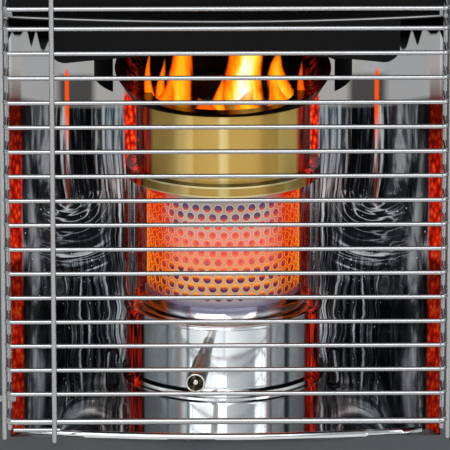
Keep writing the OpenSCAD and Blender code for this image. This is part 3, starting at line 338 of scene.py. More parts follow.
def dished(tree, tone, dish, height, out, side):
    """Lays a dish of painted reflections over a tone: rings of light from its top down, and streaky images of
    the flames towards its flanks.

    dish is (its top, its foot, its outer radius, stops of the rings).
    """
    top, foot, outer, stops = dish
    rings = add(tree, "ValToRGB", [add(tree, "MapRange", [height, top, foot])], stops=stops)
    turn_spot = add(tree, "CombineXYZ", {
        "X": add(tree, "Math", [out, 1.5 * MM], operation="DIVIDE"), "Y": product(tree, side, 2.5)})
    flames = add(tree, "TexNoise", {"Vector": turn_spot, "Scale": 1.0, "Detail": 2.0})
    streaks = add(tree, "ValToRGB", [flames], stops=[
        (0.36, "#160b09"), (0.47, "#3c1a12"), (0.55, "#e8641c"), (0.62, "#54220f"), (0.72, "#b0a8a4")])
    off = add(tree, "Math", [side], operation="ABSOLUTE")
    rings = add(tree, "Mix", {
        "Factor": add(tree, "MapRange", [off, 0.42, 0.6]), 6: rings, 7: streaks}, data_type="RGBA")
    above = add(tree, "MapRange", [height, foot - 3 * MM, foot - 2 * MM])
    inside = product(tree, above, add(tree, "MapRange", [out, outer, outer - 0.2 * MM]))
    return add(tree, "Mix", {"Factor": inside, 6: tone, 7: rings}, data_type="RGBA")


def with_painted_reflections(name, radius, reflected_bands, metallic, roughness, lift, red, highlights_and_darks=(), dish=None):
    """Bright sheet rolled to a cylinder, with painted reflections of the room and of the hot tube.

    panels are (side, colour) stops: the room's upright bands, light and dark, as painted reflections. lift is
    how much of their tone shines by itself, as painted light without any lamp, and red is how strong the
    painted red reflection of the hot tube is at the flanks, which shines by itself too. marks are (least
    radius, greatest radius, lowest, highest, inner side, outer side, colour) for an inside, an edge or a
    fillet: painted highlights, painted shade, and the dark inside or top of a piece. dish goes to dished.
    """
    material, tree = finish_named(name)
    place, height, side = round_the_axis(tree, radius)
    tone = side_tone(tree, side, reflected_bands)
    part = add(tree, "SeparateXYZ", [place]).outputs
    out = hypotenuse(tree, part["X"], part["Y"])
    off = add(tree, "Math", [side], operation="ABSOLUTE")
    for least, greatest, lowest, highest, inner, outer, colour in highlights_and_darks:
        there = product(tree, between(tree, out, least, greatest, EDGE_SOFT),
                        between(tree, height, lowest, highest, EDGE_SOFT),
                        between(tree, off, inner, outer, SIDE_SOFT))
        tone = add(tree, "Mix", {"Factor": there, 6: tone, 7: colour}, data_type="RGBA")
    if dish:
        tone = dished(tree, tone, dish, height, out, side)
    stretched = add(tree, "Mapping", {"Vector": place, "Scale": (1 / (3 * MM), 1 / (3 * MM), 1 / (24 * MM))})
    streak = add(tree, "TexNoise", {"Vector": stretched, "Scale": 1.0, "Detail": 3.0})
    # A painted red reflection of the hot tube at the flanks; it and part of the painted tone shine by
    # themselves
    flank = add(tree, "ValToRGB", [off], stops=[
        (0.79, BLACK), (0.83, "#8c1204"), (0.88, "#ff3410"), (0.93, "#a01204"), (0.97, "#1c0200"),
        (1.0, BLACK)])
    hot = product(tree, add(tree, "MapRange", [streak, 0.43, 0.62]), red)
    red_part = add(tree, "Mix", {"Factor": hot, 6: BLACK, 7: flank}, data_type="RGBA")
    own_part = add(tree, "Mix", {"Factor": lift, 6: BLACK, 7: tone}, data_type="RGBA")
    glow = add(tree, "Mix", {"Factor": 1.0, 6: red_part, 7: own_part}, data_type="RGBA", blend_type="ADD")
    surface(tree, {
        "Base Color": tone, "Metallic": metallic, "Emission Color": glow, "Emission Strength": 1.0,
        "Roughness": add(tree, "MapRange", [streak, 0.0, 1.0, roughness, roughness + 0.05])})
    return material


# %% Brass sleeve and lip ring
# Painted reflections of the room and of the hot tube run across both pieces. The sleeve is dark inside, and
# the lip ring has a dark top. The bright edges on the front of both are painted highlights.
ANY_RADIUS, ALL_ROUND, FRONT_ONLY = (0, 1), (-1, 2), (-1, 0.8)
brass_reflections = [
    (-1.0, "#3a0c05"), (-0.84, "#3c1a0c"), (-0.8, "#9c8040"), (-0.58, "#ac9050"), (-0.5, "#d8bc74"),
    (-0.37, "#d2b56c"), (-0.34, "#b8964a"), (-0.08, "#bc9a4e"), (-0.03, "#dcc488"), (0.03, "#d2b870"),
    (0.07, "#b8954a"), (0.6, "#bc9a4c"), (0.63, "#d4b86c"), (0.82, "#c6a658"), (0.86, "#3c160a"),
    (1.0, "#3a0c05")]
sleeve_brass = with_painted_reflections("brass_with_painted_reflections", sleeve_r, brass_reflections, 0.55, 0.22, lift=0.3, red=0.35, highlights_and_darks=[
    (0, sleeve_r - 0.5 * MM, 0, 1, *ALL_ROUND, "#160b05"),
    (*ANY_RADIUS, sleeve_top - 0.9 * MM, sleeve_top - 0.2 * MM, *FRONT_ONLY, "#f2e2ac")])
lip_brass = with_painted_reflections("lip_brass_with_painted_reflections", lip_r, brass_reflections, 0.55, 0.22, lift=0.06, red=0.9, highlights_and_darks=[
    (*ANY_RADIUS, lip_top - 0.2 * MM, 1, *ALL_ROUND, "#0e0703"),
    (*ANY_RADIUS, lip_top - 1.3 * MM, lip_top - 0.4 * MM, *FRONT_ONLY, "#f2e2ac"),
    (*ANY_RADIUS, 0, lip_low + 0.8 * MM, *FRONT_ONLY, "#e6d394")])
print(f"brass on radii {sleeve_r:.4f} and {lip_r:.4f}")

# %% Chrome drum and sooty collar
# The drum shows painted reflections of the room. Its foot ends in a rolled edge with a painted highlight,
# under a painted shadow in the fillet and with painted shade under the roll, and its top is a dish with
# painted reflections. The sooty collar has painted red reflections of the hot tube at its flanks.
REFLECTIONS_R, DISH_HEIGHT, FOOT_HEIGHT = 57 * MM, 10.6 * MM, 5 * MM
ROLL_UNDERSIDE = 0.3 * MM
drum_reflections = [
    (-1.0, "#0c0808"), (-0.8, "#24201f"), (-0.78, "#979da1"), (-0.58, "#a6acb0"), (-0.56, "#7b8286"),
    (-0.54, "#bfc5c8"), (-0.38, "#d8dfe1"), (-0.36, "#70787c"), (-0.34, "#cbd1d3"), (-0.1, "#f2f4f5"),
    (-0.02, "#e4e8ee"), (0.0, "#c9ccd8"), (0.02, "#eceff1"), (0.28, "#b9bfc1"), (0.45, "#d2d8da"),
    (0.46, "#8a9194"), (0.48, "#dde3e4"), (0.59, "#b8bec1"), (0.61, "#30363a"), (0.64, "#5a6165"),
    (0.66, "#b6bcc0"), (0.79, "#9ea5a8"), (0.81, "#24201f"), (1.0, "#0c0808")]
dish_reflections = [
    (0.0, "#8f8ca8"), (0.3, "#9492a8"), (0.4, "#d4d4de"), (0.46, "#ffffff"), (0.53, "#d0d0d8"),
    (0.6, "#312d33"), (0.66, "#312d33"), (0.74, "#f2f0f0"), (0.84, "#7e7b7d"), (0.93, "#f4f4f4"),
    (1.0, "#d8d8d8")]
drum_chrome = with_painted_reflections("chrome_with_painted_reflections", REFLECTIONS_R, drum_reflections, 0.85, 0.06, lift=0.2, red=0.75, highlights_and_darks=[
    (foot_r - 2.4 * MM, foot_r - 0.9 * MM, drum_low, drum_low + FOOT_HEIGHT, 0.2, 2, "#0d0e10"),
    (foot_r - 0.8 * MM, 1, drum_low + ROLL_UNDERSIDE, drum_low + FOOT_HEIGHT, -1, 0.76, "#ffffff"),
    (foot_r - 0.8 * MM, 1, 0, drum_low + ROLL_UNDERSIDE, 0.2, 2, "#08090a")],
    dish=(drum_top, drum_top - DISH_HEIGHT, glass_r, dish_reflections))
collar_steel = with_painted_reflections("sooty_collar_steel_with_painted_reflections", REFLECTIONS_R, [
    (-1.0, "#1c1512"), (-0.5, "#120d0b"), (0.5, "#120d0b"), (1.0, "#1c1512")], 0.8, 0.2, lift=0.1, red=0.3)
print(f"chrome drum from {drum_low:.4f} to {drum_top:.4f}, sooty collar")

# %% Handle and ceiling bead
# The burner's handle points forward and a little to the left. A painted highlight runs along it, with painted
# shade towards either side.
HANDLE_TURN = math.radians(6)
grip_low, grip_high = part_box("handle_grip")
grip_r = (grip_high.z - grip_low.z) / 2
mouth = Vector((grip_low.x + grip_r * math.cos(HANDLE_TURN), grip_low.y + grip_r * math.sin(HANDLE_TURN),
                (grip_low.z + grip_high.z) / 2))


def handle_metal_with_painted_light(name, light_and_shade_stops, roughness):
    """Turned metal on the handle's line, with a painted highlight and painted shade: (side, colour) stops
    across it.
    """
    material, tree = finish_named(name)
    from_mouth = add(tree, "VectorMath", {
        0: add(tree, "TexCoord").outputs["Object"], 1: mouth}, operation="SUBTRACT")
    along_it = add(tree, "Mapping", {"Vector": from_mouth, "Rotation": (0, 0, HANDLE_TURN)})
    side = add(tree, "Math", [add(tree, "SeparateXYZ", [along_it]).outputs["X"], grip_r], operation="DIVIDE")
    surface(tree, {"Base Color": side_tone(tree, side, light_and_shade_stops), "Metallic": 0.5, "Roughness": roughness})
    return material


handle_nickel = handle_metal_with_painted_light("browned_nickel_with_painted_highlight", [
    (-0.9, "#1c1916"), (-0.6, "#4a4236"), (-0.4, "#6a5f4c"), (-0.3, "#cfc2a4"), (-0.2, "#7c7059"),
    (0.05, "#544a3c"), (0.15, "#2e2822"), (0.35, "#665c49"), (0.7, "#3c352b"), (0.9, "#14110f")], 0.3)
handle_steel = handle_metal_with_painted_light("dark_rod_steel_with_painted_highlight", [
    (-0.6, "#0e0d0c"), (-0.35, "#3a3733"), (-0.1, "#4c4944"), (0.0, "#b8b4ac"), (0.1, "#45423d"),
    (0.35, "#2c2a27"), (0.6, "#0c0b0a")], 0.3)

# The ceiling's edge bead is black but for a painted highlight: the thin line where it catches the light.
bead_low, bead_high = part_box("ceiling_bead")[0].z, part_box("ceiling_bead")[1].z
bead_finish, tree = finish_named("painted_highlight_line_on_black")
here = add(tree, "TexCoord").outputs["Object"]
up = add(tree, "MapRange", [add(tree, "SeparateXYZ", [here]).outputs["Z"], bead_low, bead_high])
tone = add(tree, "ValToRGB", [up], stops=[
    (0.3, "#060606"), (0.42, "#b9babb"), (0.62, "#b9babb"), (0.74, "#060606")])
surface(tree, {"Base Color": tone, "Metallic": 0.6, "Roughness": 0.35})
print("handle and bead")

# %% [markdown]
# ## The mirror behind the burner
#
# The reflector is thin polished sheet, and what it shows is the same on both sides of the burner. Its finish
# paints reflections: the upper part is smooth and pale, and below that the sheet breaks the room into fine
# upright strands, which bend into loops half way up. Red images of the glowing tube stand beside the burner
# and on the flared front edges. A dented mesh would make images too, but not where the real sheet has them.
# So the finish draws them, and the red images and half of the rest shine by themselves. It works from three
# lengths: how far a point is from the burner's axis to either side, how far behind it, and its level. The
# level is the height above the floor, counted along the sheet as someone in front looks down on it, so that
# a band runs on evenly from the flanks round the corners to the back.

# %% Places on the mirror
FLARE_STARTS = -80 * MM
# Sizes in millimetres. A cell is (width, height), and a change is (where it starts, where it is full).
STRAND_WIDTH, STRAND_LENGTH, STRAND_DEPTH = 1.9, 60, 26
SWAY, SWAY_CELL, SWAY_LEVEL, SWAY_ACROSS = 8, (30, 22), (130, 60), (98, 92)
LOOPS_ACROSS, LOOPS_LEVEL, LOOPS_STEP, LOOPS_DEPTH, LOOPS_START = 90, 106, 3.6, 60, (4, 11)
ZONES_LEVEL, FLANK_ACROSS = (90, 125), (94, 100)
NEAR_ACROSS, NEAR_LEVEL = (73, 68), (112, 124)
SPARK_CELL, NET_CELL = (1.5, 2.4), (1.6, 4.2)
SMOOTH_FROM, SMOOTH_EDGE = 157, 2
BAND_EDGE_WIDTH, BAND_EDGE_DEPTH, BAND_LEVEL = 4.5, 34, (209, 210.5)
FLARE_BEHIND, FLARE_LEVEL = (-110, -113), (175, 150)
LINE_LEVEL = (132, 152)
# A patch is (from, to, soft edge) across from the axis, then for the level. Sparks have a level only.
SPARKS = (25, 100, 6)
LOOPS = (68, 101, 5), (58, 108, 9)
FOOT_IMAGE = (74, 94, 2), (SMOOTH_FROM, 175, 2)
RED_BESIDE = (48, 56.5, 0.6), (119, 166, 3)
RED_BELOW = (43, 56, 1.5), (20, 112, 8)
CORNER_LINE = (88.2, 90.4, 0.4), (98, 178, 2)


def in_chamber(tree):
    """Millimetres from the burner's axis: to either side, behind it, and the level above the floor."""
    moved = add(tree, "Mapping", {
        "Vector": add(tree, "TexCoord").outputs["Object"],
        "Location": (-axis_x / MM, -axis_y / MM, -floor_z / MM), "Scale": (1 / MM, 1 / MM, 1 / MM)})
    part = add(tree, "SeparateXYZ", [moved]).outputs
    level = add(tree, "Math", [part["Y"], math.tan(ELEVATION), part["Z"]], operation="MULTIPLY_ADD")
    return add(tree, "Math", [part["X"]], operation="ABSOLUTE"), part["Y"], level


def inner_side(tree):
    """1 on the sheet's faces that look at the burner and on its flared edges, 0 on the other side."""
    centred = add(tree, "Mapping", {
        "Vector": add(tree, "TexCoord").outputs["Object"], "Location": (-axis_x, -axis_y, 0)})
    flat = add(tree, "VectorMath", {0: centred, 1: (1 / MM, 1 / MM, 0)}, operation="MULTIPLY")
    facing = add(tree, "NewGeometry").outputs["Normal"]
    away = add(tree, "VectorMath", {0: flat, 1: facing}, operation="DOT_PRODUCT")
    front = add(tree, "Math", [
        add(tree, "SeparateXYZ", [centred]).outputs["Y"], FLARE_STARTS], operation="LESS_THAN")
    inward = add(tree, "Math", [away, 0.0], operation="LESS_THAN")
    return add(tree, "Math", [inward, front], operation="MAXIMUM")


def patch(tree, across, level, bounds):
    """1 inside a patch of the mirror, fading to 0 across its soft edges."""
    return product(tree, between(tree, across, *bounds[0]), between(tree, level, *bounds[1]))


def grid(tree, across, level, width, height):
    """A flat place on the mirror, counted in cells of the given width and height."""
    return add(tree, "CombineXYZ", {
        "X": add(tree, "Math", [across, width], operation="DIVIDE"),
        "Y": add(tree, "Math", [level, height], operation="DIVIDE")})


def red_net(tree, across, level):
    """A painted reflection of the red-hot perforated tube: a net of bright and dark meshes, drawn out
    upwards.
    """
    cell = add(tree, "TexVoronoi", {"Vector": grid(tree, across, level, *NET_CELL), "Scale": 1.0})
    return add(tree, "ValToRGB", [cell.outputs["Distance"]], stops=[
        (0.13, "#ff6c2a"), (0.36, "#fa2a0e"), (0.75, "#8a0c04")])


# %% Curves and stirring
def profile(tree, value, span, stops):
    """A curve of plain numbers from (place, number) stops, with places from 0 to span."""
    greys = [(place / span, (number, number, number, 1)) for place, number in stops]
    place = add(tree, "Math", [value, span], operation="DIVIDE")
    return add(tree, "ValToRGB", [place], stops=greys)


def stirred(tree, value, pattern, amount):
    """A value moved up and down by a pattern round 0.5."""
    swing = add(tree, "Math", [pattern, 0.5], operation="SUBTRACT")
    return add(tree, "Math", [value, product(tree, swing, amount)], operation="ADD")


# %% Strands and loops
def strands(tree, across, behind, level):
    """Fine upright strands; a slow sway makes them wave lower down."""
    wave = add(tree, "TexNoise", {
        "Vector": grid(tree, across, level, *SWAY_CELL), "Scale": 1.0, "Detail": 2.0})
    sway = product(tree, add(tree, "MapRange", [level, *SWAY_LEVEL]),
                   add(tree, "MapRange", [across, *SWAY_ACROSS]), SWAY)
    bent = add(tree, "Math", [wave, sway, across], operation="MULTIPLY_ADD")
    strand = add(tree, "Math", [bent, STRAND_WIDTH], operation="DIVIDE")
    along = add(tree, "Math", [behind, 1 / STRAND_DEPTH, strand], operation="MULTIPLY_ADD")
    spot = add(tree, "CombineXYZ", {
        "X": along, "Y": add(tree, "Math", [level, STRAND_LENGTH], operation="DIVIDE")})
    return add(tree, "TexNoise", {
        "Vector": spot, "Scale": 1.0, "Detail": 4.0, "Roughness": 0.6, "Distortion": 0.5})


def loops(tree, across, behind, level):
    """Rings of light that hang round a point near the corner, and their share, which is 0 away from them."""
    aside = add(tree, "Math", [across, LOOPS_ACROSS], operation="SUBTRACT")
    down = add(tree, "Math", [level, LOOPS_LEVEL], operation="SUBTRACT")
    reach = hypotenuse(tree, aside, down)
    turn = add(tree, "Math", [down, aside], operation="ARCTAN2")
    spot = add(tree, "CombineXYZ", {
        "X": add(tree, "Math", [reach, LOOPS_STEP], operation="DIVIDE"), "Y": product(tree, turn, 0.8),
        "Z": add(tree, "Math", [behind, LOOPS_DEPTH], operation="DIVIDE")})
    wave = add(tree, "TexNoise", {"Vector": spot, "Scale": 1.0, "Detail": 1.5, "Distortion": 0.25})
    swing = add(tree, "Math", [wave, 0.5], operation="SUBTRACT")
    crest = add(tree, "MapRange", [add(tree, "Math", [swing], operation="ABSOLUTE"), 0.09, 0.0])
    patchy = add(tree, "TexNoise", {"Vector": spot, "Scale": 0.6, "Detail": 1.0})
    shine = add(tree, "MapRange", [patchy, 0.35, 0.65, 0.08, 0.26])
    ring = add(tree, "Math", [product(tree, crest, crest), shine, 0.47], operation="MULTIPLY_ADD")
    open_middle = add(tree, "MapRange", [reach, *LOOPS_START])
    return ring, product(tree, patch(tree, across, level, LOOPS), open_middle, 0.9)


# %% Polished sheet
mirror, tree = finish_named("crinkled_sheet_with_painted_reflections")
across, behind, level = in_chamber(tree)
loop, loop_share = loops(tree, across, behind, level)
crinkle_and_reflection = add(tree, "Mix", {"Factor": loop_share, 2: strands(tree, across, behind, level), 3: loop})

# Painted reflections: pale beside the burner, nearly black next to that, grey in the corners and on the
# flanks
zone = profile(tree, across, 120, [
    (53, 0.6), (69, 0.59), (73, 0.44), (85, 0.45), (89, 0.54), (95, 0.52), (99, 0.48), (120, 0.48)])
lit_fold = stirred(tree, crinkle_and_reflection, zone, add(tree, "MapRange", [level, *ZONES_LEVEL, 0.1, 1.0]))
tone = add(tree, "ValToRGB", [lit_fold], stops=[
    (0.41, "#0a0b0d"), (0.48, "#1e2024"), (0.535, "#474b50"), (0.59, "#a3a8ad"), (0.67, "#eef1f3")])
flank_tone = add(tree, "ValToRGB", [lit_fold], stops=[(0.4, "#08090a"), (0.5, "#2c2f32"), (0.6, "#84888c")])
flank_share = product(tree, add(tree, "MapRange", [across, *FLANK_ACROSS]), 0.6)
tone = add(tree, "Mix", {"Factor": flank_share, 6: tone, 7: flank_tone}, data_type="RGBA")
near_tone = add(tree, "ValToRGB", [lit_fold], stops=[(0.48, "#3c4a52"), (0.6, "#809ca8"), (0.72, "#a8c8d6")])
near_share = product(tree, add(tree, "MapRange", [across, *NEAR_ACROSS]),
                     add(tree, "MapRange", [level, *NEAR_LEVEL]), 0.75)
tone = add(tree, "Mix", {"Factor": near_share, 6: tone, 7: near_tone}, data_type="RGBA")

# Painted highlights: sparks where small dents catch a lamp
dents = add(tree, "TexNoise", {"Vector": grid(tree, across, level, *SPARK_CELL), "Scale": 1.0, "Detail": 1.0})
spark = product(tree, add(tree, "MapRange", [dents, 0.74, 0.77]), between(tree, level, *SPARKS))
tone = add(tree, "Mix", {"Factor": spark, 6: tone, 7: "#ffffff"}, data_type="RGBA")

# The smooth upper part, a pale painted reflection with dark painted images of the baffle's feet, and a black
# band with a ragged lower edge under the ceiling
upper = add(tree, "MapRange", [level, SMOOTH_FROM - SMOOTH_EDGE, SMOOTH_FROM + SMOOTH_EDGE])
tone = add(tree, "Mix", {"Factor": upper, 6: tone, 7: "#cfd0d1"}, data_type="RGBA")
foot_share = product(tree, patch(tree, across, level, FOOT_IMAGE), 0.85)
tone = add(tree, "Mix", {"Factor": foot_share, 6: tone, 7: "#2b2823"}, data_type="RGBA")
column = add(tree, "Math", [across, BAND_EDGE_WIDTH], operation="DIVIDE")
band_edge_noise = add(tree, "TexNoise", {"Vector": add(tree, "CombineXYZ", {"X": column}), "Scale": 1.0, "Detail": 1.0})
band_edge = add(tree, "Math", [band_edge_noise, BAND_EDGE_DEPTH, level], operation="MULTIPLY_ADD")
black_band = add(tree, "MapRange", [band_edge, *BAND_LEVEL])
tone = add(tree, "Mix", {"Factor": black_band, 6: tone, 7: "#050505"}, data_type="RGBA")

# Painted reflections of the hot tube: red images beside the burner, on the flared edges and as a thin line in
# the corner, all over dark red, and a dark, faintly red strip beside the tube lower down
beside = patch(tree, across, level, RED_BESIDE)
below = patch(tree, across, level, RED_BELOW)
flare = product(tree, add(tree, "MapRange", [behind, *FLARE_BEHIND]),
                add(tree, "MapRange", [level, *FLARE_LEVEL]))
flare_run = profile(tree, level, 200, [
    (0, 0.3), (17, 0.45), (50, 0.25), (60, 0.1), (72, 0.7), (120, 0.6), (138, 0.15), (165, 0.1), (176, 0.0)])
red = add(tree, "Math", [beside, product(tree, below, 0.15)], operation="MAXIMUM")
red = add(tree, "Math", [red, product(tree, flare, flare_run)], operation="MAXIMUM")
dark = add(tree, "Math", [beside, product(tree, below, 0.9)], operation="MAXIMUM")
dark = add(tree, "Math", [dark, flare], operation="MAXIMUM")
line_run = add(tree, "MapRange", [level, *LINE_LEVEL, 0.12, 1.0])
line = product(tree, patch(tree, across, level, CORNER_LINE), line_run)

# The painted red reflections shine by themselves, and so does half of the painted tone, but only on the faces
# that look at the burner
inner = inner_side(tree)
lit = add(tree, "Mix", {"Factor": red, 6: BLACK, 7: red_net(tree, across, level)}, data_type="RGBA")
lit = add(tree, "Mix", {"Factor": line, 6: lit, 7: "#ff5410"}, data_type="RGBA")
lit = add(tree, "Mix", {"Factor": inner, 6: BLACK, 7: lit}, data_type="RGBA")
hidden = add(tree, "Math", [dark, line], operation="MAXIMUM")
shown = add(tree, "Mix", {"Factor": hidden, 6: tone, 7: "#270d07"}, data_type="RGBA")
glint = add(tree, "Mix", {"Factor": product(tree, inner, 0.5), 6: BLACK, 7: shown}, data_type="RGBA")
shown = add(tree, "Mix", {"Factor": inner, 6: "#8f9498", 7: shown}, data_type="RGBA")
shown = add(tree, "Mix", {"Factor": 1.0, 6: shown, 7: "#9caaad"}, data_type="RGBA", blend_type="MULTIPLY")
lit = add(tree, "Mix", {"Factor": 1.0, 6: lit, 7: glint}, data_type="RGBA", blend_type="ADD")
crinkle = add(tree, "Bump", {"Height": crinkle_and_reflection, "Strength": 0.25, "Distance": 1 * MM})
surface(tree, {
    "Base Color": shown, "Metallic": 1.0, "Roughness": 0.28, "Specular Tint": "#616569",
    "Normal": crinkle, "Emission Color": lit, "Emission Strength": 1.0})
finish["polished_steel"] = mirror

# The floor is the same sheet, laid flat and left smooth
mirror_floor = plated("smooth_polished_sheet", "#e2e4e6", 0.03, 20)
print("mirror: smooth above level", SMOOTH_FROM, "mm, loops at levels", LOOPS[1][0], "to", LOOPS[1][1])

# %% [markdown]
# ## The glowing burner
#
# The perforated tube glows orange where the flames run behind it. The front is washed out to a pale peach and
# the sides burn deep orange; the first rows above the dish and the last rows under the brass stay grey. Lamps
# inside the tube would not give steel these colours, so it shines by itself. The glow is drawn from the
# height and from the side, so it stays with the tube.

# %% Glow on the perforated tube
ROWS, HOLES = 11, 42
ROW_PITCH, FIRST_ROW_UP = 5.2 * MM, 6 * MM
first_row = drum_top + FIRST_ROW_UP
last_row = first_row + (ROWS - 1) * ROW_PITCH


def glowing(name, front, flank):
    """Steel that shines by itself: one run of colours up its front and another up its flanks."""
    material, tree = finish_named(name)
    place, height, side = round_the_axis(tree, tube_r)
    level = add(tree, "MapRange", [height, first_row - ROW_PITCH, last_row + ROW_PITCH])
    turn = add(tree, "MapRange", [add(tree, "Math", [side], operation="ABSOLUTE"), 0.5, 0.82])
    cloud = add(tree, "TexNoise", {"Vector": place, "Scale": 1 / (7 * MM), "Detail": 2.0})
    share = stirred(tree, turn, cloud, 0.8)
    front_tone = add(tree, "ValToRGB", [level], stops=front)
    flank_tone = add(tree, "ValToRGB", [level], stops=flank)
    surface(tree, {
        "Base Color": "#1c1310", "Metallic": 0.3, "Roughness": 0.5, "Emission Strength": 0.95,
        "Emission Color": add(tree, "Mix", {
            "Factor": share, 6: front_tone, 7: flank_tone}, data_type="RGBA")})
    return material


finish["glowing_steel"] = glowing("perforated_steel_at_orange_heat", [
    (0.0, "#77758a"), (0.06, "#a39a9c"), (0.16, "#c8a07c"), (0.35, "#e8966e"), (0.55, "#ec9078"),
    (0.72, "#cf9d8c"), (0.85, "#b5a698"), (1.0, "#948b82")], [
    (0.0, "#5a3440"), (0.1, "#a82c0a"), (0.3, "#dc3c06"), (0.6, "#d42804"), (1.0, "#cc2204")])
ember = glowing("inner_tube_at_red_heat", [(0.0, "#2c2340"), (0.5, "#e0502c"), (1.0, "#2a2440")], [
    (0.0, "#5c1408"), (0.5, "#c02c08"), (1.0, "#a02408")])
print(f"glow from {first_row:.4f} to {last_row:.4f}")

# %% [markdown]
# ## Glass, plastics, rubber, fibre and ceramic
#
# The burner's glass is clear tube. It is set to bend light far less than real glass does, because the dark
# strips that it shows beside the tube are drawn on the mirror right behind it. The plastics are moulded with
# a fine grain. The wick is woven fibre.

# %% Glass and the remaining finishes
GLASS_IOR = 1.04
clear, tree = finish_named("heat_proof_glass")
haze = add(tree, "TexNoise", {
    "Vector": add(tree, "TexCoord").outputs["Object"], "Scale": 1 / (20 * MM), "Detail": 2.0})
surface(tree, {
    "Base Color": "#fdfdfd", "Roughness": add(tree, "MapRange", [haze, 0.0, 1.0, 0.0, 0.03]),
    "IOR": GLASS_IOR, "Transmission Weight": 1.0, "Specular Tint": "#a0a0a2"})
finish["burner_glass"] = finish["clear_plastic"] = clear


def moulded(name, dark, light, roughness, grain_mm, depth):
    """Moulded or woven stuff: a fine grain in two tones with a little relief."""
    material, tree = finish_named(name)
    grain = add(tree, "TexNoise", {
        "Vector": add(tree, "TexCoord").outputs["Object"], "Scale": 1 / (grain_mm * MM), "Detail": 3.0})
    surface(tree, {
        "Base Color": add(tree, "ValToRGB", [grain], stops=[(0.35, dark), (0.65, light)]),
        "Roughness": roughness,
        "Normal": add(tree, "Bump", {"Height": grain, "Strength": depth, "Distance": 0.2 * MM})})
    return material


finish["rubber"] = moulded("black_rubber", "#121212", "#1c1c1c", 0.8, 1.5, 0.3)
finish["black_plastic"] = moulded("grained_black_plastic", "#141415", "#1d1d1e", 0.42, 0.8, 0.3)
finish["red_plastic"] = moulded("red_moulded_plastic", "#9a1710", "#b32018", 0.3, 4.0, 0.05)
finish["float_plastic"] = moulded("orange_float_plastic", "#c9521a", "#d9642a", 0.4, 3.0, 0.1)
finish["wick_fibre"] = moulded("woven_wick_fibre", "#b9ac90", "#d8ceb6", 0.9, 0.8, 0.8)
finish["ceramic"] = moulded("unglazed_ceramic", "#d6d0c4", "#e6e1d6", 0.6, 1.2, 0.2)
finish["cell_wrap"] = moulded("plain_cell_wrap", "#55575a", "#696b6e", 0.3, 8.0, 0.05)
print("finishes for", len(finish), "slots")

# %% Finishes on the solids
# Each solid takes the finish of its slot, apart from those that have one of their own.
own_finish = {
    "inner_flame_tube": ember, "reflector_floor": mirror_floor, "lip_ring": lip_brass,
    "brass_sleeve": sleeve_brass, "burner_drum": drum_chrome, "flame_collar": collar_steel,
    "flame_skirt": soot, "ceiling_bead": bead_finish, "handle_grip": handle_nickel,
    "handle_rod": handle_steel}
for part in frame["record"]["subparts"]:
    mesh = solid[part["node"]].data
    mesh.materials.clear()
    mesh.materials.append(own_finish.get(part["node"], finish[part["material_slot"]]))

# %% [markdown]
# ## Flames
#
# Yellow tongues stand in the brass sleeve and lick up behind the baffle. Each is a thin lens: wide at the
# foot, drawn in towards its tip, leaning and swaying to one side. Fire as a volume would be softer, but only
# a mesh can be exported. Three attributes carry how far a point is from the tongue's edge, how high it is and
# how hot the tongue burns, and the finish turns them into colour and fading.

# %% Flame finish
fire, tree = finish_named("yellow_flame")
core, rise, white = [add(tree, "Attribute", attribute_name=name).outputs["Fac"]
                     for name in ("core", "rise", "white")]
stretched = add(tree, "Mapping", {
    "Vector": add(tree, "TexCoord").outputs["Object"], "Scale": (1 / (4 * MM), 1 / (9 * MM), 1 / (16 * MM))})
wisp = add(tree, "TexNoise", {"Vector": stretched, "Scale": 1.0, "Detail": 2.0, "Distortion": 0.8})
soft_core = stirred(tree, core, wisp, 0.7)
colour = add(tree, "ValToRGB", [product(tree, soft_core, white)], stops=[
    (0.0, "#a82400"), (0.2, "#f05a04"), (0.42, "#ff8c0c"), (0.62, "#ffb81e"), (0.82, "#ffe664"),
    (1.0, "#fffbe4")])
fade = add(tree, "MapRange", [rise, 1.0, 0.7])
body = add(tree, "MapRange", [soft_core, 0.05, 0.6, 0.0, 0.97], interpolation_type="SMOOTHSTEP")
surface(tree, {
    "Base Color": BLACK, "Roughness": 1.0, "Specular IOR Level": 0.0, "Alpha": product(tree, fade, body),
    "Emission Color": colour, "Emission Strength": 1.25})
print("flame finish with", len(tree.nodes), "nodes")

# %% Flame tongues
LEVELS, ROUND = 30, 24
FLAME_SUNK = 24 * MM
TIP_HALF = 0.2 * MM
FLICKER, FLICKER_TURNS = 0.06, 9
THINNESS = 0.3
CORE_POWER = 2.3
COOLING = 0.6


def placed(name, mesh, body):
    """Puts a mesh into the scene as a piece that rides on a body."""
    piece = bpy.data.objects.new(name, mesh)
    bpy.context.scene.collection.objects.link(piece)
    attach(piece, body)
    print(name, "faces:", len(mesh.polygons))


def smooth_mesh(name, shape, material):
    """A smooth mesh with one finish, made from a bmesh, which is freed."""
    mesh = bpy.data.meshes.new(name)
    shape.to_mesh(mesh)
    shape.free()
    mesh.materials.append(material)
    mesh.polygons.foreach_set("use_smooth", [True] * len(mesh.polygons))
    return mesh


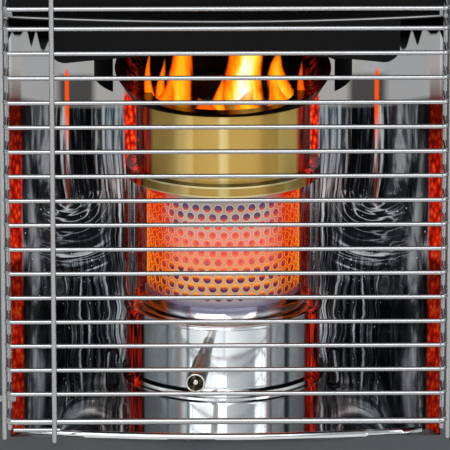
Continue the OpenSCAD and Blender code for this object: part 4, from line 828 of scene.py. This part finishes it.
def tongue(shape, layers, x, y, foot, tall, wide, taper, lean, white):
    """Adds one flame tongue to a bmesh: a stack of ellipses from its foot to its tip."""
    rings = []
    for i in range(LEVELS + 1):
        s = i / LEVELS
        half = wide / 2 * (1 - s ** taper) + TIP_HALF
        middle = lean * s + FLICKER * wide * math.sin(FLICKER_TURNS * s + x / MM)
        ring = []
        for k in range(ROUND):
            a = 2 * math.pi * k / ROUND
            vert = shape.verts.new((x + middle + half * math.cos(a), y + THINNESS * half * math.sin(a),
                                    foot + s * tall))
            vert[layers["core"]] = abs(math.sin(a)) ** CORE_POWER
            vert[layers["rise"]] = s
            vert[layers["white"]] = white * (1 - COOLING * s)
            ring.append(vert)
        rings.append(ring)
    for low_ring, high_ring in zip(rings, rings[1:]):
        for k in range(ROUND):
            n = (k + 1) % ROUND
            shape.faces.new((low_ring[k], low_ring[n], high_ring[n], high_ring[k]))
    shape.faces.new(list(reversed(rings[0])))
    shape.faces.new(rings[-1])


# Tongues in millimetres: across, behind the axis, height, width, lean; then taper and heat as plain numbers
tongues = [
    (12.5, 20, 92, 32, 4, 0.95, 1.2), (33, 10, 48, 21, -2, 1.8, 1.0), (-24.5, 22, 90, 20, 1, 1.15, 0.7),
    (-35, 4, 44, 16, 1, 0.8, 0.66), (-42, 0, 50, 13, 0, 0.8, 0.6), (-3, -4, 36, 16, 2, 1.1, 0.75),
    (6, 24, 84, 15, 3, 1.3, 0.45), (46, 4, 42, 10, -2, 1.3, 0.36), (-34, -12, 36, 32, 2, 1.1, 0.62),
    (-14, -20, 27, 44, 2, 1.2, 0.45), (14, -24, 34, 40, 2, 1.1, 1.05), (32, -14, 37, 30, -1, 1.1, 0.9),
]
shape = bmesh.new()
layers = {name: shape.verts.layers.float.new(name) for name in ("core", "rise", "white")}
for across, behind, tall, wide, lean, taper, heat in tongues:
    tongue(shape, layers, axis_x + across * MM, axis_y + behind * MM, sleeve_top - FLAME_SUNK, tall * MM,
           wide * MM, taper, lean * MM, heat)
placed("flame_tongues", smooth_mesh("flame_tongues", shape, fire), "burner")

# %% [markdown]
# ## The mouth of the handle and the clips beside the drum
#
# The burner's handle ends in an open mouth with a bright rolled edge round a pin. A black spring clip stands
# on the floor at either side of the drum's foot and keeps the burner from sliding. All of these are small
# turned or bent pieces, so plain rings, pegs and strips are enough.

# %% Mouth ring and pin
MOUTH_EDGE, EDGE_STEPS, TURN_STEPS = 0.5 * MM, 8, 28


def turned(start, along, outline):
    """A bmesh of a turned piece: (distance along, radius) pairs spun round a line, as a closed loop."""
    shape = bmesh.new()
    first = along.orthogonal().normalized()
    second = along.cross(first)
    loops_round = []
    for k in range(TURN_STEPS):
        a = 2 * math.pi * k / TURN_STEPS
        ray = math.cos(a) * first + math.sin(a) * second
        loops_round.append([shape.verts.new(start + d * along + r * ray) for d, r in outline])
    for one, two in zip(loops_round, loops_round[1:] + loops_round[:1]):
        for i in range(len(outline)):
            j = (i + 1) % len(outline)
            shape.faces.new((one[i], one[j], two[j], two[i]))
    return shape


towards = Vector((-math.sin(HANDLE_TURN), -math.cos(HANDLE_TURN), 0)).normalized()
edge = [(MOUTH_EDGE * math.cos(t), grip_r - MOUTH_EDGE + MOUTH_EDGE * math.sin(t))
        for t in [2 * math.pi * i / EDGE_STEPS for i in range(EDGE_STEPS)]]
ring_mesh = smooth_mesh("grip_mouth_ring", turned(mouth, towards, edge), bright_nickel)
placed("grip_mouth_ring", ring_mesh, "burner")
# The pin's outline in millimetres: along the handle from its mouth, and the radius
peg = [(-6, 0.05), (-6, 1.7), (-1.6, 1.7), (-1.0, 1.1), (-1.0, 0.05)]
pin_shape = turned(mouth, towards, [(d * MM, r * MM) for d, r in peg])
placed("grip_mouth_pin", smooth_mesh("grip_mouth_pin", pin_shape, bright_nickel), "burner")

# %% Clips beside the drum
# The strip's outline in millimetres: towards the drum, and above the clip's foot
bend = [
    (0, 0), (0, 9.5), (1.2, 11.4), (4.2, 12.2), (7.2, 11.0), (8.2, 7.5), (7.4, 4.2), (6.4, 4.6), (7.0, 7.3),
    (6.3, 9.9), (4.2, 10.9), (2.0, 10.3), (1.1, 8.8), (1.1, 0)]
CLIP_AWAY, CLIP_UP, CLIP_HALF = 9.6, 0.3, 3.5
shape = bmesh.new()
for turn in (-1, 1):
    near, far = [[shape.verts.new((
        axis_x + turn * (foot_r + (CLIP_AWAY - u) * MM), axis_y + depth * MM, floor_z + (CLIP_UP + h) * MM))
        for u, h in bend] for depth in (-CLIP_HALF, CLIP_HALF)]
    for i in range(len(bend)):
        j = (i + 1) % len(bend)
        shape.faces.new((near[i], near[j], far[j], far[i]))
    shape.faces.new(near)
    shape.faces.new(list(reversed(far)))
placed("drum_clips", smooth_mesh("drum_clips", shape, finish["black_enamel"]), "cabinet")

# %% [markdown]
# ## Rims of the holes and the embers behind them
#
# Each hole in the tube has a rolled rim, which is hotter than the wall, and shows the red-hot inside: violet
# where the flame is blue, salmon half way up, and lit from above in the lowest rows. More than four hundred
# equal rings and discs on a regular grid are a job for Geometry Nodes: points from an index, one small ring
# and one disc on each, turned to face out.

# %% Functions for Geometry Nodes
def node_group(name, inputs):
    """A Geometry Nodes tree with named inputs and one geometry output."""
    tree = bpy.data.node_groups.new(name, "GeometryNodeTree")
    tree.interface.new_socket("Geometry", in_out="OUTPUT", socket_type="NodeSocketGeometry")
    for label, kind in inputs:
        tree.interface.new_socket(label, in_out="INPUT", socket_type="NodeSocket" + kind)
    return tree, add(tree, "NodeGroupInput").outputs


def grown(name, tree, geometry, values, body):
    """Ends a tree in this geometry, runs it on an empty mesh and keeps the result as a plain piece."""
    real = add(tree, "GeometryNodeRealizeInstances", {"Geometry": geometry})
    add(tree, "NodeGroupOutput", {0: real})
    seed = bpy.data.objects.new(name + "_seed", bpy.data.meshes.new(name + "_seed"))
    bpy.context.scene.collection.objects.link(seed)
    modifier = seed.modifiers.new("grow", "NODES")
    modifier.node_group = tree
    for item in tree.interface.items_tree:
        if item.item_type == "SOCKET" and item.in_out == "INPUT" and item.name in values:
            modifier[item.identifier] = values[item.name]
    graph = bpy.context.evaluated_depsgraph_get()
    mesh = bpy.data.meshes.new_from_object(seed.evaluated_get(graph), depsgraph=graph)
    bpy.data.objects.remove(seed)
    mesh.name = name
    placed(name, mesh, body)


# %% Finishes of rims and embers
rim_metal = glowing("rolled_rim_at_yellow_heat", [
    (0.0, "#9a8f98"), (0.08, "#e08a3c"), (0.22, "#ffb44a"), (0.42, "#ffa070"), (0.62, "#ffb09a"),
    (0.8, "#dcc4b4"), (1.0, "#c8bdb0")], [
    (0.0, "#a83c10"), (0.15, "#ffa028"), (0.5, "#ff8a1c"), (1.0, "#ff7018")])

inside, tree = finish_named("red_heat_behind_holes")
place, height, side = round_the_axis(tree, tube_r)
spot = add(tree, "Attribute", attribute_name="spot").outputs["Vector"]
down = add(tree, "Math", [add(tree, "SeparateXYZ", [spot]).outputs["X"], 0.5, 0.5], operation="MULTIPLY_ADD")
out = add(tree, "VectorMath", {0: spot}, operation="LENGTH")
high = add(tree, "ValToRGB", [down], stops=[(0.25, "#45426e"), (0.6, "#6c3c54"), (0.9, "#d8583a")])
middle = add(tree, "ValToRGB", [out], stops=[(0.05, "#9a4a78"), (0.4, "#f4604c"), (1.0, "#ff7244")])
low = add(tree, "ValToRGB", [down], stops=[
    (0.1, "#ffb444"), (0.35, "#f47a20"), (0.55, "#8c2c3c"), (0.8, "#43265c")])
up = add(tree, "MapRange", [height, first_row, last_row])
cloud = add(tree, "TexNoise", {"Vector": place, "Scale": 1 / (13 * MM), "Detail": 1.0})
level = stirred(tree, up, cloud, 0.35)
glow = add(tree, "Mix", {
    "Factor": add(tree, "MapRange", [level, 0.68, 0.9]), 6: middle, 7: high}, data_type="RGBA")
glow = add(tree, "Mix", {
    "Factor": add(tree, "MapRange", [level, 0.26, 0.42]), 6: low, 7: glow}, data_type="RGBA")
flank = add(tree, "ValToRGB", [level], stops=[(0.15, "#641408"), (0.45, "#b82c0c"), (1.0, "#d42c10")])
off = add(tree, "Math", [side], operation="ABSOLUTE")
glow = add(tree, "Mix", {
    "Factor": add(tree, "MapRange", [off, 0.6, 0.85]), 6: glow, 7: flank}, data_type="RGBA")
surface(tree, {"Base Color": "#140c0c", "Roughness": 0.7, "Emission Color": glow, "Emission Strength": 0.95})
print("embers with", len(tree.nodes), "nodes")

# %% Rolled rims and embers
RIM_R, RIM_WIRE, DISC_DEPTH = 2.45 * MM, 0.2 * MM, 1.0 * MM
RIM_STEPS, WIRE_STEPS = 16, 5
tree, value = node_group("rims_and_embers", [
    ("Holes", "Int"), ("Rows", "Int"), ("Tube radius", "Float"), ("Row pitch", "Float"),
    ("First row", "Float"), ("Rim radius", "Float"), ("Rim wire", "Float"), ("Disc depth", "Float")])
number = add(tree, "GeometryNodeInputIndex")
row = add(tree, "Math", [add(tree, "Math", [number, value["Holes"]], operation="DIVIDE")], operation="FLOOR")
shift = add(tree, "Math", [
    add(tree, "Math", [row, 2.0], operation="MODULO"), 0.5, number], operation="MULTIPLY_ADD")
angle = product(tree, add(tree, "Math", [shift, value["Holes"]], operation="DIVIDE"), 2 * math.pi)
cosine, sine = [add(tree, "Math", [angle], operation=name) for name in ("COSINE", "SINE")]
x = add(tree, "Math", [cosine, value["Tube radius"], axis_x], operation="MULTIPLY_ADD")
y = add(tree, "Math", [sine, value["Tube radius"], axis_y], operation="MULTIPLY_ADD")
z = add(tree, "Math", [row, value["Row pitch"], value["First row"]], operation="MULTIPLY_ADD")
hole = add(tree, "CombineXYZ", {"X": x, "Y": y, "Z": z})
total = product(tree, value["Holes"], value["Rows"])
points = add(tree, "GeometryNodePoints", {"Count": total, "Position": hole})

ring = add(tree, "GeometryNodeCurvePrimitiveCircle", {"Resolution": RIM_STEPS, "Radius": value["Rim radius"]})
wire = add(tree, "GeometryNodeCurvePrimitiveCircle", {"Resolution": WIRE_STEPS, "Radius": value["Rim wire"]})
rim = add(tree, "GeometryNodeCurveToMesh", {"Curve": ring, "Profile Curve": wire})
rim = add(tree, "GeometryNodeSetMaterial", {"Geometry": rim, "Material": rim_metal})

disc = add(tree, "GeometryNodeMeshCircle", {
    "Vertices": RIM_STEPS, "Radius": value["Rim radius"]}, fill_type="TRIANGLE_FAN")
from_middle = add(tree, "VectorMath", {
    0: add(tree, "GeometryNodeInputPosition"),
    "Scale": add(tree, "Math", [1.0, value["Rim radius"]], operation="DIVIDE")}, operation="SCALE")
disc = add(tree, "GeometryNodeStoreNamedAttribute", {
    "Geometry": disc, "Name": "spot", "Value": from_middle}, data_type="FLOAT_VECTOR", domain="POINT")
sunk = add(tree, "CombineXYZ", {"Z": product(tree, value["Disc depth"], -1.0)})
disc = add(tree, "GeometryNodeTransform", {"Geometry": disc, "Translation": sunk})
disc = add(tree, "GeometryNodeSetMaterial", {"Geometry": disc, "Material": inside})
pair = add(tree, "GeometryNodeJoinGeometry", {"Geometry": rim})
tree.links.new(disc.outputs[0], pair.inputs["Geometry"])
many = add(tree, "GeometryNodeInstanceOnPoints", {
    "Points": points, "Instance": pair,
    "Rotation": add(tree, "CombineXYZ", {"Y": math.pi / 2, "Z": angle})})
grown("rims_and_embers", tree, many, {
    "Holes": HOLES, "Rows": ROWS, "Tube radius": tube_r, "Row pitch": ROW_PITCH, "First row": first_row,
    "Rim radius": RIM_R, "Rim wire": RIM_WIRE, "Disc depth": DISC_DEPTH}, "burner")

# %% [markdown]
# ## Marks on the dial
#
# A printed scale of short lines runs most of the way round the wick knob. Equal marks on an arc are again a
# few lines of Geometry Nodes: an angle from each point's number, and one thin bar on each point.

# %% Dial marks
MARKS, MARKS_SWEEP, MARKS_INSET = 13, math.radians(270), 2 * MM
MARK_SIZE = (0.7 * MM, 0.3 * MM, 2.6 * MM)
dial_low, dial_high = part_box("dial_ring")
dial_middle = (dial_low + dial_high) / 2
dial_r = half_width((dial_low, dial_high))
tree, value = node_group("dial_marks", [
    ("Marks", "Int"), ("Sweep", "Float"), ("Radius", "Float"), ("Mark size", "Vector")])
number = add(tree, "GeometryNodeInputIndex")
share = add(tree, "Math", [
    number, add(tree, "Math", [value["Marks"], 1.0], operation="SUBTRACT")], operation="DIVIDE")
angle = product(tree, add(tree, "Math", [share, 0.5], operation="SUBTRACT"), value["Sweep"])
cosine, sine = [add(tree, "Math", [angle], operation=name) for name in ("COSINE", "SINE")]
x = add(tree, "Math", [sine, value["Radius"], dial_middle.x], operation="MULTIPLY_ADD")
z = add(tree, "Math", [cosine, value["Radius"], dial_middle.z], operation="MULTIPLY_ADD")
spot = add(tree, "CombineXYZ", {"X": x, "Y": dial_low.y, "Z": z})
points = add(tree, "GeometryNodePoints", {"Count": value["Marks"], "Position": spot})
bar = add(tree, "GeometryNodeMeshCube", {"Size": value["Mark size"]})
bar = add(tree, "GeometryNodeSetMaterial", {"Geometry": bar, "Material": finish["black_plastic"]})
many = add(tree, "GeometryNodeInstanceOnPoints", {
    "Points": points, "Instance": bar, "Rotation": add(tree, "CombineXYZ", {"Y": angle})})
grown("dial_marks", tree, many, {
    "Marks": MARKS, "Sweep": MARKS_SWEEP, "Radius": dial_r - MARKS_INSET, "Mark size": MARK_SIZE}, "cabinet")
